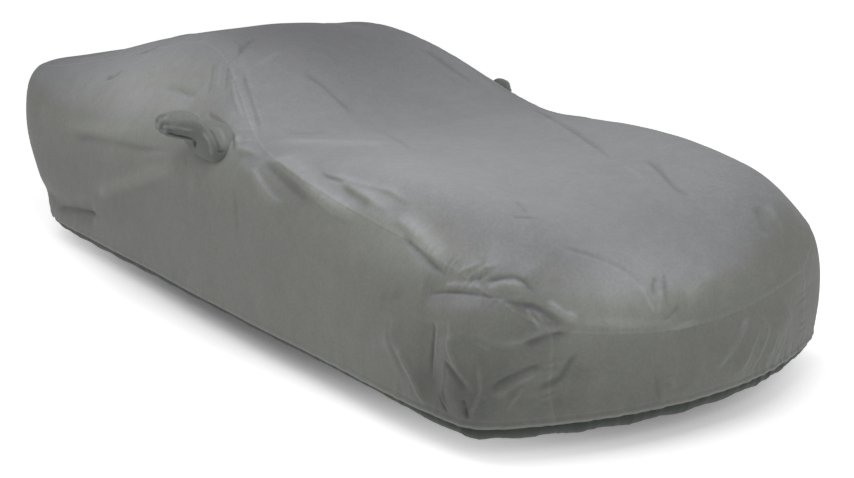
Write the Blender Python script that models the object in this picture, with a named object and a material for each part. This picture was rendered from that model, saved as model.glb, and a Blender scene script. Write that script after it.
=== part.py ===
"""A fitted cloth car cover of seven sewn pieces, hanging in its fitted shape.

Metres, +Z up, nose toward -Y.  The tables are written from the ground under the
middle of the cover; an empty carries every piece, so that the origin of the
finished part is the underside of the cloth at the top of the roof.
"""

import math

import bmesh
import bpy
import numpy as np
from mathutils import Vector
from mathutils.bvhtree import BVHTree

# ---------------------------------------------------------------- driving sizes
CLOTH = 0.0025            # thickness of every panel
SEAM_GAP = 0.0003         # clear line between two panels that are sewn together
ROOF_Y = 0.75             # the cover is carried under its roof, this far behind the middle
ROOF_Z = 1.235            # top of the cloth there, above the ground
HEM_Z = 0.130             # height of the hem's turned edge above the ground
SMOOTHING = 2             # levels of smoothing between the tables' points
FIT_ROUNDS = 6            # rounds that bring the smoothed cloth onto those points
SHARPEST_CORNER = 0.4     # limit on the inset at a panel's pointed corner
CREASE_ANGLE = 50.0       # degrees; edges sharper than this are shaded as edges
ROUGHNESS = 0.78          # of the woven cloth

COLOURS = {               # linear colour of each panel's cloth
    "top_panel": (0.200, 0.202, 0.209),
    "side_panel_right": (0.182, 0.187, 0.174),
    "side_panel_left": (0.182, 0.187, 0.174),
    "front_panel": (0.178, 0.184, 0.170),
    "rear_panel": (0.178, 0.184, 0.170),
    "mirror_pocket_right": (0.170, 0.178, 0.166),
    "mirror_pocket_left": (0.170, 0.178, 0.166),
}

# One row for each cross-section of the cover, nose to tail.  Half widths
# are from the centre plane.  Rails, from the middle out: mid, crown, top (the
# highest line on each side of the top), seam, belt, side and hem.
SECTION_COLUMNS = ("y_mid", "z_mid", "x_crown", "z_crown", "x_top", "z_top",
                   "y_seam", "x_seam", "z_seam", "x_belt", "z_belt",
                   "x_side", "z_side", "y_hem", "x_hem")
SECTIONS = (
    (-2.15, 0.41, 0.24, 0.422, 0.47, 0.452, -2.06, 0.670, 0.485, 0.680, 0.37, 0.680, 0.24, -2.07, 0.662),
    (-2.06, 0.61, 0.31, 0.632, 0.60, 0.678, -1.96, 0.828, 0.600, 0.900, 0.44, 0.910, 0.28, -1.96, 0.890),
    (-1.88, 0.75, 0.36, 0.778, 0.66, 0.826, -1.79, 0.862, 0.660, 0.943, 0.49, 0.954, 0.30, -1.82, 0.955),
    (-1.65, 0.81, 0.37, 0.838, 0.68, 0.872, -1.62, 0.860, 0.690, 0.947, 0.52, 0.964, 0.31, -1.63, 0.972),
    (-1.37, 0.85, 0.38, 0.876, 0.70, 0.903, -1.37, 0.866, 0.727, 0.950, 0.55, 0.969, 0.33, -1.37, 0.977),
    (-1.03, 0.865, 0.40, 0.887, 0.71, 0.904, -1.03, 0.864, 0.762, 0.948, 0.59, 0.970, 0.35, -1.03, 0.978),
    (-0.65, 0.88, 0.42, 0.895, 0.71, 0.885, -0.65, 0.850, 0.810, 0.942, 0.65, 0.970, 0.38, -0.65, 0.978),
    (-0.25, 0.91, 0.42, 0.915, 0.68, 0.896, -0.25, 0.800, 0.864, 0.920, 0.73, 0.968, 0.42, -0.25, 0.976),
    (0.05, 1.02, 0.38, 1.015, 0.60, 1.002, 0.05, 0.710, 0.984, 0.895, 0.79, 0.965, 0.44, 0.05, 0.975),
    (0.35, 1.163, 0.32, 1.158, 0.49, 1.145, 0.35, 0.615, 1.112, 0.880, 0.82, 0.962, 0.45, 0.35, 0.974),
    (ROOF_Y, ROOF_Z, 0.26, 1.217, 0.41, 1.203, ROOF_Y, 0.525, 1.180, 0.870, 0.83, 0.958, 0.46, ROOF_Y, 0.972),
    (1.20, 1.186, 0.28, 1.176, 0.42, 1.157, 1.20, 0.540, 1.116, 0.870, 0.82, 0.955, 0.46, 1.20, 0.968),
    (1.65, 1.094, 0.30, 1.088, 0.47, 1.068, 1.65, 0.630, 1.012, 0.900, 0.79, 0.958, 0.46, 1.63, 0.958),
    (2.06, 0.992, 0.32, 0.988, 0.56, 0.970, 2.06, 0.785, 0.936, 0.945, 0.76, 0.965, 0.46, 1.97, 0.905),
    (2.38, 0.925, 0.28, 0.924, 0.52, 0.920, 2.32, 0.785, 0.900, 0.862, 0.72, 0.855, 0.46, 2.13, 0.730),
)

# The middle of the front and of the rear, from the top seam down: (y, z).
FRONT_MIDDLE = ((-2.185, 0.330), (-2.205, 0.230), (-2.200, HEM_Z))
REAR_MIDDLE = ((2.420, 0.740), (2.390, 0.470), (2.220, HEM_Z))

# The folds that the cloth hangs in.  A trough's height is negative, and the line
# runs over the cloth from the end where the fold is strongest.
FOLD_COLUMNS = ("name", "half_width", "height", "line")
FOLDS = (
    ("belt line", 0.080, 0.010,
     ((-0.95, 1.95, 0.72), (-0.91, 1.29, 0.76), (-0.89, 0.55, 0.80))),
    ("pull under the pocket", 0.070, 0.016,
     ((-0.92, 0.20, 0.73), (-0.95, 0.69, 0.57), (-0.96, 1.36, 0.38))),
    ("slack under that pull", 0.090, -0.010,
     ((-0.93, 0.12, 0.66), (-0.96, 0.70, 0.45), (-0.96, 1.20, 0.28))),
    ("pull before the pocket", 0.060, 0.012,
     ((-0.86, -0.12, 0.84), (-0.80, -0.30, 0.85), (-0.66, -0.62, 0.89))),
    ("fan before the pocket", 0.060, 0.012,
     ((-0.90, -0.18, 0.78), (-0.92, -0.43, 0.73), (-0.94, -0.70, 0.66))),
    ("fan along the side", 0.060, 0.014,
     ((-0.84, -0.32, 0.82), (-0.88, -0.70, 0.77), (-0.91, -1.05, 0.70))),
    ("long fan on the side", 0.065, 0.014,
     ((-0.80, -0.43, 0.85), (-0.85, -1.05, 0.78), (-0.87, -1.60, 0.69))),
    ("dip in the side", 0.080, -0.010,
     ((-0.87, -0.62, 0.76), (-0.92, -1.00, 0.66), (-0.93, -1.35, 0.60))),
    ("crumple by the front corner", 0.060, -0.018,
     ((-0.93, -1.62, 0.57), (-0.89, -1.77, 0.59), (-0.80, -1.93, 0.60))),
    ("roll at the front corner", 0.070, 0.016,
     ((-0.82, -1.84, 0.67), (-0.75, -1.92, 0.67), (-0.69, -1.99, 0.61))),
    ("shadow under that roll", 0.050, -0.014,
     ((-0.80, -1.97, 0.57), (-0.70, -2.04, 0.52), (-0.60, -2.08, 0.47))),
    ("front side trough", 0.060, -0.016,
     ((-0.95, -1.69, 0.50), (-0.96, -1.71, 0.33), (-0.96, -1.73, 0.14))),
    ("front side ridge", 0.060, 0.014,
     ((-0.97, -1.45, 0.40), (-0.97, -1.58, 0.27), (-0.97, -1.70, 0.14))),
    ("corner ridge", 0.060, 0.014,
     ((-0.94, -1.81, 0.47), (-0.95, -1.85, 0.32), (-0.93, -1.89, 0.14))),
    ("corner trough", 0.060, -0.014,
     ((-0.86, -1.97, 0.48), (-0.90, -1.94, 0.32), (-0.92, -1.91, 0.14))),
    ("lean at the corner", 0.060, 0.012,
     ((-0.66, -2.06, 0.39), (-0.79, -2.01, 0.30), (-0.90, -1.94, 0.20))),
    ("dent by the front seam", 0.060, -0.012,
     ((-0.56, -2.10, 0.37), (-0.62, -2.08, 0.28), (-0.68, -2.06, 0.18))),
    ("far front lean", 0.060, 0.010,
     ((0.36, -2.16, 0.37), (0.22, -2.19, 0.26), (0.09, -2.21, 0.15))),
    ("far front lean, low", 0.060, 0.009,
     ((0.55, -2.11, 0.36), (0.42, -2.15, 0.26), (0.32, -2.18, 0.15))),
    ("diagonal down the top", 0.090, 0.010,
     ((-0.34, 0.25, 1.10), (-0.30, -0.09, 0.96), (-0.32, -0.62, 0.90), (-0.50, -1.30, 0.88))),
    ("slack at the slope's foot", 0.140, -0.014,
     ((-0.35, -0.28, 0.91), (0.0, -0.30, 0.91), (0.45, -0.28, 0.91))),
    ("upper side slack", 0.120, -0.012,
     ((-0.73, 0.42, 0.98), (-0.74, 0.80, 0.98), (-0.76, 1.25, 0.94))),
    ("tail crease", 0.050, -0.026,
     ((-0.965, 1.22, 0.27), (-0.962, 1.58, 0.23), (-0.94, 1.95, 0.24), (-0.88, 2.14, 0.27))),
    ("left belt line", 0.080, 0.010,
     ((0.95, 1.90, 0.72), (0.91, 1.20, 0.76), (0.89, 0.55, 0.80))),
    ("left pull", 0.070, 0.015,
     ((0.92, 0.22, 0.73), (0.95, 0.74, 0.55), (0.96, 1.28, 0.36))),
    ("left fan", 0.060, 0.013,
     ((0.85, -0.33, 0.81), (0.89, -0.78, 0.75), (0.92, -1.18, 0.66))),
    ("left long fan", 0.065, 0.013,
     ((0.80, -0.46, 0.85), (0.85, -1.10, 0.78), (0.87, -1.58, 0.69))),
    ("left front side trough", 0.060, -0.015,
     ((0.95, -1.62, 0.47), (0.96, -1.66, 0.32), (0.97, -1.69, 0.14))),
    ("left corner ridge", 0.060, 0.014,
     ((0.93, -1.83, 0.49), (0.94, -1.86, 0.32), (0.93, -1.89, 0.14))),
    ("left upper side slack", 0.120, -0.012,
     ((0.73, 0.46, 0.98), (0.74, 0.84, 0.98), (0.76, 1.22, 0.94))),
    ("left tail crease", 0.050, -0.022,
     ((0.965, 1.26, 0.25), (0.96, 1.60, 0.24), (0.93, 1.98, 0.25))),
    ("rear slack", 0.100, -0.012,
     ((-0.55, 2.40, 0.62), (0.0, 2.44, 0.55), (0.50, 2.40, 0.66))),
    ("rear pull, right", 0.070, 0.012,
     ((-0.72, 2.33, 0.72), (-0.50, 2.38, 0.45), (-0.34, 2.32, 0.22))),
    ("rear pull, left", 0.070, 0.012,
     ((0.74, 2.32, 0.70), (0.58, 2.36, 0.44), (0.46, 2.30, 0.22))),
)
FOLD_FADE_IN = 0.12       # share of a fold's length over which it rises
FOLD_FADE_OUT = 0.30      # share of its length over which it dies away
FOLD_REACH = 3.0          # half widths beyond which a fold no longer counts

# Broad, low unevenness between the folds, as waves over the cloth: height, turning
# in radians for each metre along X, Y and Z, and phase.
SLACK_WAVES = (
    (0.0022, 5.1, 3.7, 0.0, 0.6),
    (0.0020, 0.0, -2.9, 6.3, 0.0),
    (0.0018, 2.1, 8.3, 0.0, 1.9),
)
SLACK_CLEAR = 0.6         # distance from the roof's mount over which it grows from nothing

# The hem is turned under and drawn in by its elastic: how far it drops and how
# far it goes in, by the distance along the cover.
HEM_TUCK_COLUMNS = ("y", "drop", "inward")
HEM_TUCK = (
    (-2.30, 0.052, 0.045),
    (-1.80, 0.050, 0.045),
    (-1.40, 0.028, 0.020),
    (0.00, 0.036, 0.022),
    (0.70, 0.046, 0.026),
    (1.30, 0.050, 0.030),
    (2.30, 0.050, 0.050),
)
SILL_X = 0.975            # half width at the hem, along the middle of each side
RUFFLE = 0.009            # gathers of the drawn-in edge, up and down
RUFFLE_LENGTH = 0.270     # from one gather to the next
RUFFLE_FULL_DROP = 0.050  # a hem that drops less has smaller gathers

# A pocket's rings, from the side panel out: distance from the centre plane,
# the ring's middle, its half length and half height, and how far it leans back for
# each metre of height.
POCKET_COLUMNS = ("x", "y", "z", "half_y", "half_z", "lean")
POCKET_RINGS = (
    (0.900, 0.083, 0.840, 0.146, 0.080, 0.50),
    (0.932, 0.090, 0.856, 0.138, 0.084, 0.40),
    (0.948, 0.100, 0.886, 0.124, 0.088, 0.10),
    (0.962, 0.124, 0.918, 0.112, 0.069, 0.00),
    (0.990, 0.162, 0.919, 0.096, 0.066, 0.00),
    (1.025, 0.196, 0.915, 0.080, 0.056, 0.00),
    (1.052, 0.216, 0.917, 0.063, 0.044, 0.00),
    (1.066, 0.226, 0.922, 0.034, 0.024, 0.00),
)
POCKET_PLACES = (         # side, shift along Y, shift up, share of the length along Y
    ("right", 0.000, 0.000, 1.00),
    ("left", 0.175, -0.060, 0.80),
)
POCKET_SIDES = 20         # points around a ring
POCKET_SQUARE = 2.5       # 2 is an oval, more is squarer
POCKET_ROOT = 0.006       # how far the pocket's edge stands inside the panel
POCKET_LIP = 0.010        # least way from that edge to the pocket's first ring
MOUTH_CUT_X = (0.70, 1.10)  # the mouth is cut between these distances from the centre
OUTSIDE_X = 1.50          # lies outside everything

HALF_RAILS = ("mid", "crown", "top", "seam", "belt", "side", "hem")
SEAM_RAIL = HALF_RAILS.index("seam")
HEM_RAIL = HALF_RAILS.index("hem")
SIDES = {"right": -1.0, "left": 1.0}
PANELS = ("top_panel", "side_panel_right", "side_panel_left", "front_panel", "rear_panel")


def clear_scene():
    """Start from an empty file."""
    for old in list(bpy.data.objects):
        bpy.data.objects.remove(old, do_unlink=True)


def rail_point(section, rail):
    """A point of one cross-section; negative rails are on the right side, at -X."""
    row = dict(zip(SECTION_COLUMNS, SECTIONS[section]))
    step = abs(rail)
    name = HALF_RAILS[step]
    side = -1.0 if rail < 0 else 1.0
    if name == "mid":
        return Vector((0.0, row["y_mid"], row["z_mid"]))
    x = row["x_" + name]
    if name == "hem":
        z = HEM_Z
    else:
        z = row["z_" + name]
    if step <= SEAM_RAIL:
        bow = (x / row["x_seam"]) ** 2
        y = row["y_mid"] + (row["y_seam"] - row["y_mid"]) * bow
    else:
        drop = (row["z_seam"] - z) / (row["z_seam"] - HEM_Z)
        y = row["y_seam"] + (row["y_hem"] - row["y_seam"]) * drop
    return Vector((side * x, y, z))


def end_point(section, middle, row, rail):
    """A point of the front or rear face, bowed between the two corner seams."""
    corner = rail_point(section, SEAM_RAIL + row)
    if abs(rail) == SEAM_RAIL:
        return rail_point(section, int(math.copysign(SEAM_RAIL + row, rail)))
    top = rail_point(section, rail)
    x = top.x * corner.x / rail_point(section, SEAM_RAIL).x
    bow = 1.0 - (x / corner.x) ** 2
    y = corner.y + (middle[row - 1][0] - corner.y) * bow
    z = corner.z + (middle[row - 1][1] - corner.z) * bow
    return Vector((x, y, z))


def add_cage():
    """The tables' points as one open mesh; a face's material index is its panel."""
    bm = bmesh.new()
    last = len(SECTIONS) - 1
    grid = {}
    for section in range(len(SECTIONS)):
        for rail in range(-HEM_RAIL, HEM_RAIL + 1):
            grid["body", section, rail] = bm.verts.new(rail_point(section, rail))
    for end, section, middle in (("front", 0, FRONT_MIDDLE), ("rear", last, REAR_MIDDLE)):
        for rail in range(-SEAM_RAIL, SEAM_RAIL + 1):
            grid[end, 0, rail] = grid["body", section, rail]
            for row in range(1, len(middle) + 1):
                if abs(rail) == SEAM_RAIL:
                    outer = int(math.copysign(SEAM_RAIL + row, rail))
                    grid[end, row, rail] = grid["body", section, outer]
                else:
                    grid[end, row, rail] = bm.verts.new(end_point(section, middle, row, rail))

    def quads(part, rows, rails, panel, flip):
        for row in range(rows):
            for rail in rails:
                ring = [grid[part, row, rail], grid[part, row, rail + 1],
                        grid[part, row + 1, rail + 1], grid[part, row + 1, rail]]
                if flip:
                    ring.reverse()
                face = bm.faces.new(ring)
                face.material_index = PANELS.index(panel)

    quads("body", last, range(-SEAM_RAIL, SEAM_RAIL), "top_panel", False)
    quads("body", last, range(-HEM_RAIL, -SEAM_RAIL), "side_panel_right", False)
    quads("body", last, range(SEAM_RAIL, HEM_RAIL), "side_panel_left", False)
    quads("front", len(FRONT_MIDDLE), range(-SEAM_RAIL, SEAM_RAIL), "front_panel", True)
    quads("rear", len(REAR_MIDDLE), range(-SEAM_RAIL, SEAM_RAIL), "rear_panel", False)
    return bm


def smoothed_position(vert):
    """Where a cage corner lands once its mesh has been smoothed without end."""
    if vert.is_boundary:
        rim = [edge.other_vert(vert) for edge in vert.link_edges if edge.is_boundary]
        return (vert.co * 4.0 + rim[0].co + rim[1].co) / 6.0
    valence = len(vert.link_edges)
    total = vert.co * valence * valence
    near = {edge.other_vert(vert) for edge in vert.link_edges}
    for other in near:
        total = total + other.co * 4.0
    for face in vert.link_faces:
        for other in face.verts:
            if other is not vert and other not in near:
                total = total + other.co
    return total / (valence * (valence + 5.0))


def fit_cage(bm):
    """Push the cage out until its smoothed surface runs through the tables' points."""
    wanted = [vert.co.copy() for vert in bm.verts]
    for _ in range(FIT_ROUNDS):
        landed = [smoothed_position(vert) for vert in bm.verts]
        for vert, goal, now in zip(bm.verts, wanted, landed):
            vert.co += goal - now


def smooth_surface(levels):
    """The whole cover as one smooth open mesh."""
    bm = add_cage()
    fit_cage(bm)
    mesh = bpy.data.meshes.new("skin_cage")
    bm.to_mesh(mesh)
    bm.free()
    cage = bpy.data.objects.new("skin_cage", mesh)
    bpy.context.scene.collection.objects.link(cage)
    smooth = cage.modifiers.new("smooth", "SUBSURF")
    smooth.levels = levels
    smooth.render_levels = levels
    bpy.context.view_layer.update()
    graph = bpy.context.evaluated_depsgraph_get()
    skin = bmesh.new()
    skin.from_mesh(cage.evaluated_get(graph).to_mesh())
    cage.evaluated_get(graph).to_mesh_clear()
    bpy.data.objects.remove(cage, do_unlink=True)
    return skin


def along_line(points, place):
    """Distance from a place to a line of points, and how far along it is, 0 to 1."""
    lengths = [(after - before).length for before, after in zip(points, points[1:])]
    total = sum(lengths)
    best = (1.0e9, 0.0)
    done = 0.0
    for before, after, length in zip(points, points[1:], lengths):
        way = (after - before) / length
        reach = min(max((place - before).dot(way), 0.0), length)
        away = (place - before - way * reach).length
        if away < best[0]:
            best = (away, (done + reach) / total)
        done += length
    return best


def soft_step(value):
    """0 below 0, 1 above 1, smooth between."""
    value = min(max(value, 0.0), 1.0)
    return value * value * (3.0 - 2.0 * value)


def fold_height(lines, place):
    """How far the folds lift the cloth at a place."""
    lift = 0.0
    for width, height, points in lines:
        away, share = along_line(points, place)
        if away < FOLD_REACH * width:
            fade = soft_step(share / FOLD_FADE_IN) * soft_step((1.0 - share) / FOLD_FADE_OUT)
            lift += height * fade * math.exp(-(away / width) ** 2)
    return lift


def slack_height(place):
    """Broad, low unevenness; the roof's top stays where the mount is."""
    lift = 0.0
    for height, x, y, z, phase in SLACK_WAVES:
        lift += height * math.sin(x * place.x + y * place.y + z * place.z + phase)
    return lift * soft_step(math.hypot(place.x, place.y - ROOF_Y) / SLACK_CLEAR)


def hang_folds(skin):
    """Lift and sink the smooth skin along the folds."""
    folds = [dict(zip(FOLD_COLUMNS, row)) for row in FOLDS]
    lines = [(fold["half_width"], fold["height"], [Vector(point) for point in fold["line"]])
             for fold in folds]
    skin.normal_update()
    lifts = [fold_height(lines, vert.co) + slack_height(vert.co) for vert in skin.verts]
    for vert, lift in zip(skin.verts, lifts):
        vert.co += vert.normal * lift


def turn_hem_under(skin):
    """Carry the hem's edge on, down and in, with the gathers of its elastic."""
    skin.normal_update()
    rim = [edge for edge in skin.edges if edge.is_boundary]
    rows = [dict(zip(HEM_TUCK_COLUMNS, row)) for row in HEM_TUCK]
    stations = [row["y"] for row in rows]
    made = bmesh.ops.extrude_edge_only(skin, edges=rim)["geom"]
    for vert in [item for item in made if isinstance(item, bmesh.types.BMVert)]:
        old = [edge.other_vert(vert) for edge in vert.link_edges if not edge.is_boundary][0]
        outward = Vector((old.normal.x, old.normal.y, 0.0)).normalized()
        drop = float(np.interp(old.co.y, stations, [row["drop"] for row in rows]))
        inward = float(np.interp(old.co.y, stations, [row["inward"] for row in rows]))
        round_hem = old.co.y + abs(old.co.x)
        if old.co.y > 0.0:
            round_hem = old.co.y - abs(old.co.x) + 2.0 * SILL_X
        gather = RUFFLE * math.sin(2.0 * math.pi * round_hem / RUFFLE_LENGTH)
        down = drop + gather * drop / RUFFLE_FULL_DROP
        vert.co = old.co - outward * (inward + 0.5 * gather) - Vector((0.0, 0.0, down))
    skin.normal_update()
    skin.verts.index_update()


def material(name):
    """Matt woven cloth in the panel's own grey."""
    cloth = bpy.data.materials.new("cloth_" + name)
    cloth.use_nodes = True
    shader = cloth.node_tree.nodes["Principled BSDF"]
    shader.inputs["Base Color"].default_value = (*COLOURS[name], 1.0)
    shader.inputs["Roughness"].default_value = ROUGHNESS
    shader.inputs["Metallic"].default_value = 0.0
    cloth.diffuse_color = (*COLOURS[name], 1.0)
    return cloth


def inset_direction(vert, panel):
    """From a panel's edge point, the way into the panel along the cloth."""
    faces = [face for face in vert.link_faces if face.material_index == panel]
    own_edges = {edge for face in faces for edge in face.edges if vert in edge.verts}
    rim = [edge for edge in own_edges
           if sum(face.material_index == panel for face in edge.link_faces) == 1]
    way = Vector((0.0, 0.0, 0.0))
    for edge in rim:
        along = (edge.other_vert(vert).co - vert.co).normalized()
        face = [face for face in edge.link_faces if face.material_index == panel][0]
        inward = face.calc_center_median() - (vert.co + edge.other_vert(vert).co) / 2.0
        inward = inward - along * inward.dot(along)
        way += inward.normalized()
    if len(rim) == 2:
        first, second = [(edge.other_vert(vert).co - vert.co).normalized() for edge in rim]
        corner = 1.0 + (-first).dot(second)
        way = way / max(corner, SHARPEST_CORNER)
    return way


def add_panel(skin, name, parent):
    """Cut one panel out of the skin and give it the cloth's thickness."""
    panel = PANELS.index(name)
    faces = [face for face in skin.faces if face.material_index == panel]
    verts = sorted({vert for face in faces for vert in face.verts}, key=lambda vert: vert.index)
    outer = {}
    inner = {}
    bm = bmesh.new()
    for vert in verts:
        on_rim = any(face.material_index != panel for face in vert.link_faces)
        place = vert.co.copy()
        if on_rim:
            place += inset_direction(vert, panel) * (SEAM_GAP / 2.0)
        outer[vert] = bm.verts.new(place)
        inner[vert] = bm.verts.new(place - vert.normal * CLOTH)
    for face in faces:
        ring = list(face.verts)
        bm.faces.new([outer[vert] for vert in ring])
        bm.faces.new([inner[vert] for vert in reversed(ring)])
        for first, second in zip(ring, ring[1:] + ring[:1]):
            edge = skin.edges.get((first, second))
            if sum(other.material_index == panel for other in edge.link_faces) == 1:
                bm.faces.new([outer[second], outer[first], inner[first], inner[second]])
    mesh = bpy.data.meshes.new(name)
    bm.to_mesh(mesh)
    bm.free()
    panel_object = bpy.data.objects.new(name, mesh)
    panel_object.data.materials.append(material(name))
    panel_object.parent = parent
    bpy.context.scene.collection.objects.link(panel_object)
    mesh.shade_smooth()
    mesh.set_sharp_from_angle(angle=math.radians(CREASE_ANGLE))
    return panel_object


def pocket_ring(row, place, shrink):
    """One ring of a pocket as points, drawn in by shrink."""
    ring = dict(zip(POCKET_COLUMNS, row))
    word, along, up_shift, length = place
    side = SIDES[word]
    half_y = ring["half_y"] * length - shrink
    half_z = ring["half_z"] - shrink
    points = []
    for step in range(POCKET_SIDES):
        angle = 2.0 * math.pi * step / POCKET_SIDES
        across = math.copysign(abs(math.cos(angle)) ** (2.0 / POCKET_SQUARE), math.cos(angle))
        up = math.copysign(abs(math.sin(angle)) ** (2.0 / POCKET_SQUARE), math.sin(angle))
        y = ring["y"] * length + along + half_y * across + ring["lean"] * half_z * up
        points.append(Vector((side * ring["x"], y, ring["z"] + up_shift + half_z * up)))
    return points


def seat_on(panel, points, side):
    """Move points along X until they stand just inside the panel's cloth."""
    bm = bmesh.new()
    bm.from_mesh(panel.data)
    tree = BVHTree.FromBMesh(bm)
    bm.free()
    seated = []
    for point in points:
        start = Vector((side * OUTSIDE_X, point.y, point.z))
        hit = tree.ray_cast(start, Vector((-side, 0.0, 0.0)))[0]
        seated.append(Vector((hit.x - side * POCKET_ROOT, point.y, point.z)))
    return seated


def link_mesh(name, bm, parent):
    """Turn a finished bmesh into the named object."""
    bmesh.ops.recalc_face_normals(bm, faces=bm.faces)
    mesh = bpy.data.meshes.new(name)
    bm.to_mesh(mesh)
    bm.free()
    made = bpy.data.objects.new(name, mesh)
    made.data.materials.append(material(name))
    made.parent = parent
    bpy.context.scene.collection.objects.link(made)
    mesh.shade_smooth()
    mesh.set_sharp_from_angle(angle=math.radians(CREASE_ANGLE))
    return made


def add_pocket(name, place, panel, parent):
    """A hollow pouch, open into the side panel."""
    side = SIDES[place[0]]
    bm = bmesh.new()
    skins = []
    for shrink in (0.0, CLOTH):
        rings = [pocket_ring(row, place, shrink) for row in POCKET_RINGS]
        root = seat_on(panel, rings[0], side)
        for point, seat in zip(rings[0], root):
            point.x = side * max(side * point.x, side * seat.x + POCKET_LIP)
        rings.insert(0, root)
        if shrink:
            for ring in rings[-2:]:
                for point in ring:
                    point.x -= side * CLOTH
        skins.append([[bm.verts.new(point) for point in ring] for ring in rings])
    for rings in skins:
        for ring, after in zip(rings, rings[1:]):
            for step in range(POCKET_SIDES):
                later = (step + 1) % POCKET_SIDES
                bm.faces.new((ring[step], ring[later], after[later], after[step]))
        bm.faces.new(rings[-1])
    outer_root, inner_root = skins[0][0], skins[1][0]
    for step in range(POCKET_SIDES):
        later = (step + 1) % POCKET_SIDES
        bm.faces.new((outer_root[step], inner_root[step], inner_root[later], outer_root[later]))
    return link_mesh(name, bm, parent)


def open_panel(panel, place, parent):
    """Cut the pocket's mouth through the side panel, a seam's gap clear of it."""
    side = SIDES[place[0]]
    bm = bmesh.new()
    outline = pocket_ring(POCKET_RINGS[0], place, -SEAM_GAP)
    near, far = [[bm.verts.new((side * x, point.y, point.z)) for point in outline]
                 for x in MOUTH_CUT_X]
    bm.faces.new(near)
    bm.faces.new(far)
    for step in range(POCKET_SIDES):
        later = (step + 1) % POCKET_SIDES
        bm.faces.new((near[step], near[later], far[later], far[step]))
    bmesh.ops.recalc_face_normals(bm, faces=bm.faces)
    mesh = bpy.data.meshes.new("mouth_cutter")
    bm.to_mesh(mesh)
    bm.free()
    cutter = bpy.data.objects.new("mouth_cutter", mesh)
    cutter.parent = parent
    cutter.hide_render = True
    cutter.display_type = "WIRE"
    bpy.context.scene.collection.objects.link(cutter)
    cut = panel.modifiers.new("mouth", "BOOLEAN")
    cut.operation = "DIFFERENCE"
    cut.solver = "EXACT"
    cut.object = cutter


def main():
    clear_scene()
    carrier = bpy.data.objects.new("roof_mount", None)
    carrier.location = (0.0, -ROOF_Y, CLOTH - ROOF_Z)
    bpy.context.scene.collection.objects.link(carrier)
    skin = smooth_surface(SMOOTHING)
    hang_folds(skin)
    turn_hem_under(skin)
    panels = {name: add_panel(skin, name, carrier) for name in PANELS}
    skin.free()
    for place in POCKET_PLACES:
        panel = panels["side_panel_" + place[0]]
        add_pocket("mirror_pocket_" + place[0], place, panel, carrier)
        open_panel(panel, place, carrier)


main()
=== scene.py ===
"""The looks of the fitted cloth cover: its fine surface, seams, hem, pockets and cloth.

Metres, +Z up, nose toward -Y.  The tables are written from the ground under the
middle of the cover; CARRY moves every piece to the frame of the solids, whose
origin is the underside of the cloth at the top of the roof.
"""

import math

import bmesh
import bpy
import numpy as np
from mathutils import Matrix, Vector, noise
from mathutils.bvhtree import BVHTree
from mathutils.kdtree import KDTree


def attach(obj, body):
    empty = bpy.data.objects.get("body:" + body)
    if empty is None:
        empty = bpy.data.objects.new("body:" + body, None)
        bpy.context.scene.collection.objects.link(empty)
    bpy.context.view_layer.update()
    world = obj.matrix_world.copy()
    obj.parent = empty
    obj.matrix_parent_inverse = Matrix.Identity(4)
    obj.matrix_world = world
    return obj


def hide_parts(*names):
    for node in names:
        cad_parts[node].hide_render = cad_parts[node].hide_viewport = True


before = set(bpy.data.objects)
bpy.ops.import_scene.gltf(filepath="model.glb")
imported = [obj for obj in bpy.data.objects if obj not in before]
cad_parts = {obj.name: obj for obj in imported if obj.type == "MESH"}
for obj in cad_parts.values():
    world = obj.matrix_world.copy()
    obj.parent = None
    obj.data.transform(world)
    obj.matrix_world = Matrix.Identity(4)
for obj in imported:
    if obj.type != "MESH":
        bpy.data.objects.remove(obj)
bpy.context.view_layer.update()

# ---------------------------------------------------------------- driving sizes
CLOTH = 0.0025            # thickness of the solids' panels
ROOF_Y = 0.75             # the cover is carried under its roof, this far behind the middle
ROOF_Z = 1.235            # top of the cloth there, above the ground
HEM_Z = 0.130             # height of the hem's turned edge above the ground
CARRY = np.array((0.0, -ROOF_Y, CLOTH - ROOF_Z))
SMOOTHING = 5             # levels of smoothing between the tables' points
SEEING_SMOOTHING = 3      # levels of the smooth surface that the view is traced on
FIT_ROUNDS = 6            # rounds that bring the smoothed cloth onto those points

# The camera that the photo was taken with, from the ground under the cover's middle.
EYE = np.array((-4.01, -5.90, 2.21))
EYE_YAW = math.radians(36.0)
EYE_PITCH = math.radians(15.3)
FRAME_WIDTH = 854         # the photo's size in pixels
FRAME_HEIGHT = 478
FOCAL_PIXELS = 1500.0     # focal length in those pixels
SENSOR = 36.0             # millimetres

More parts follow.
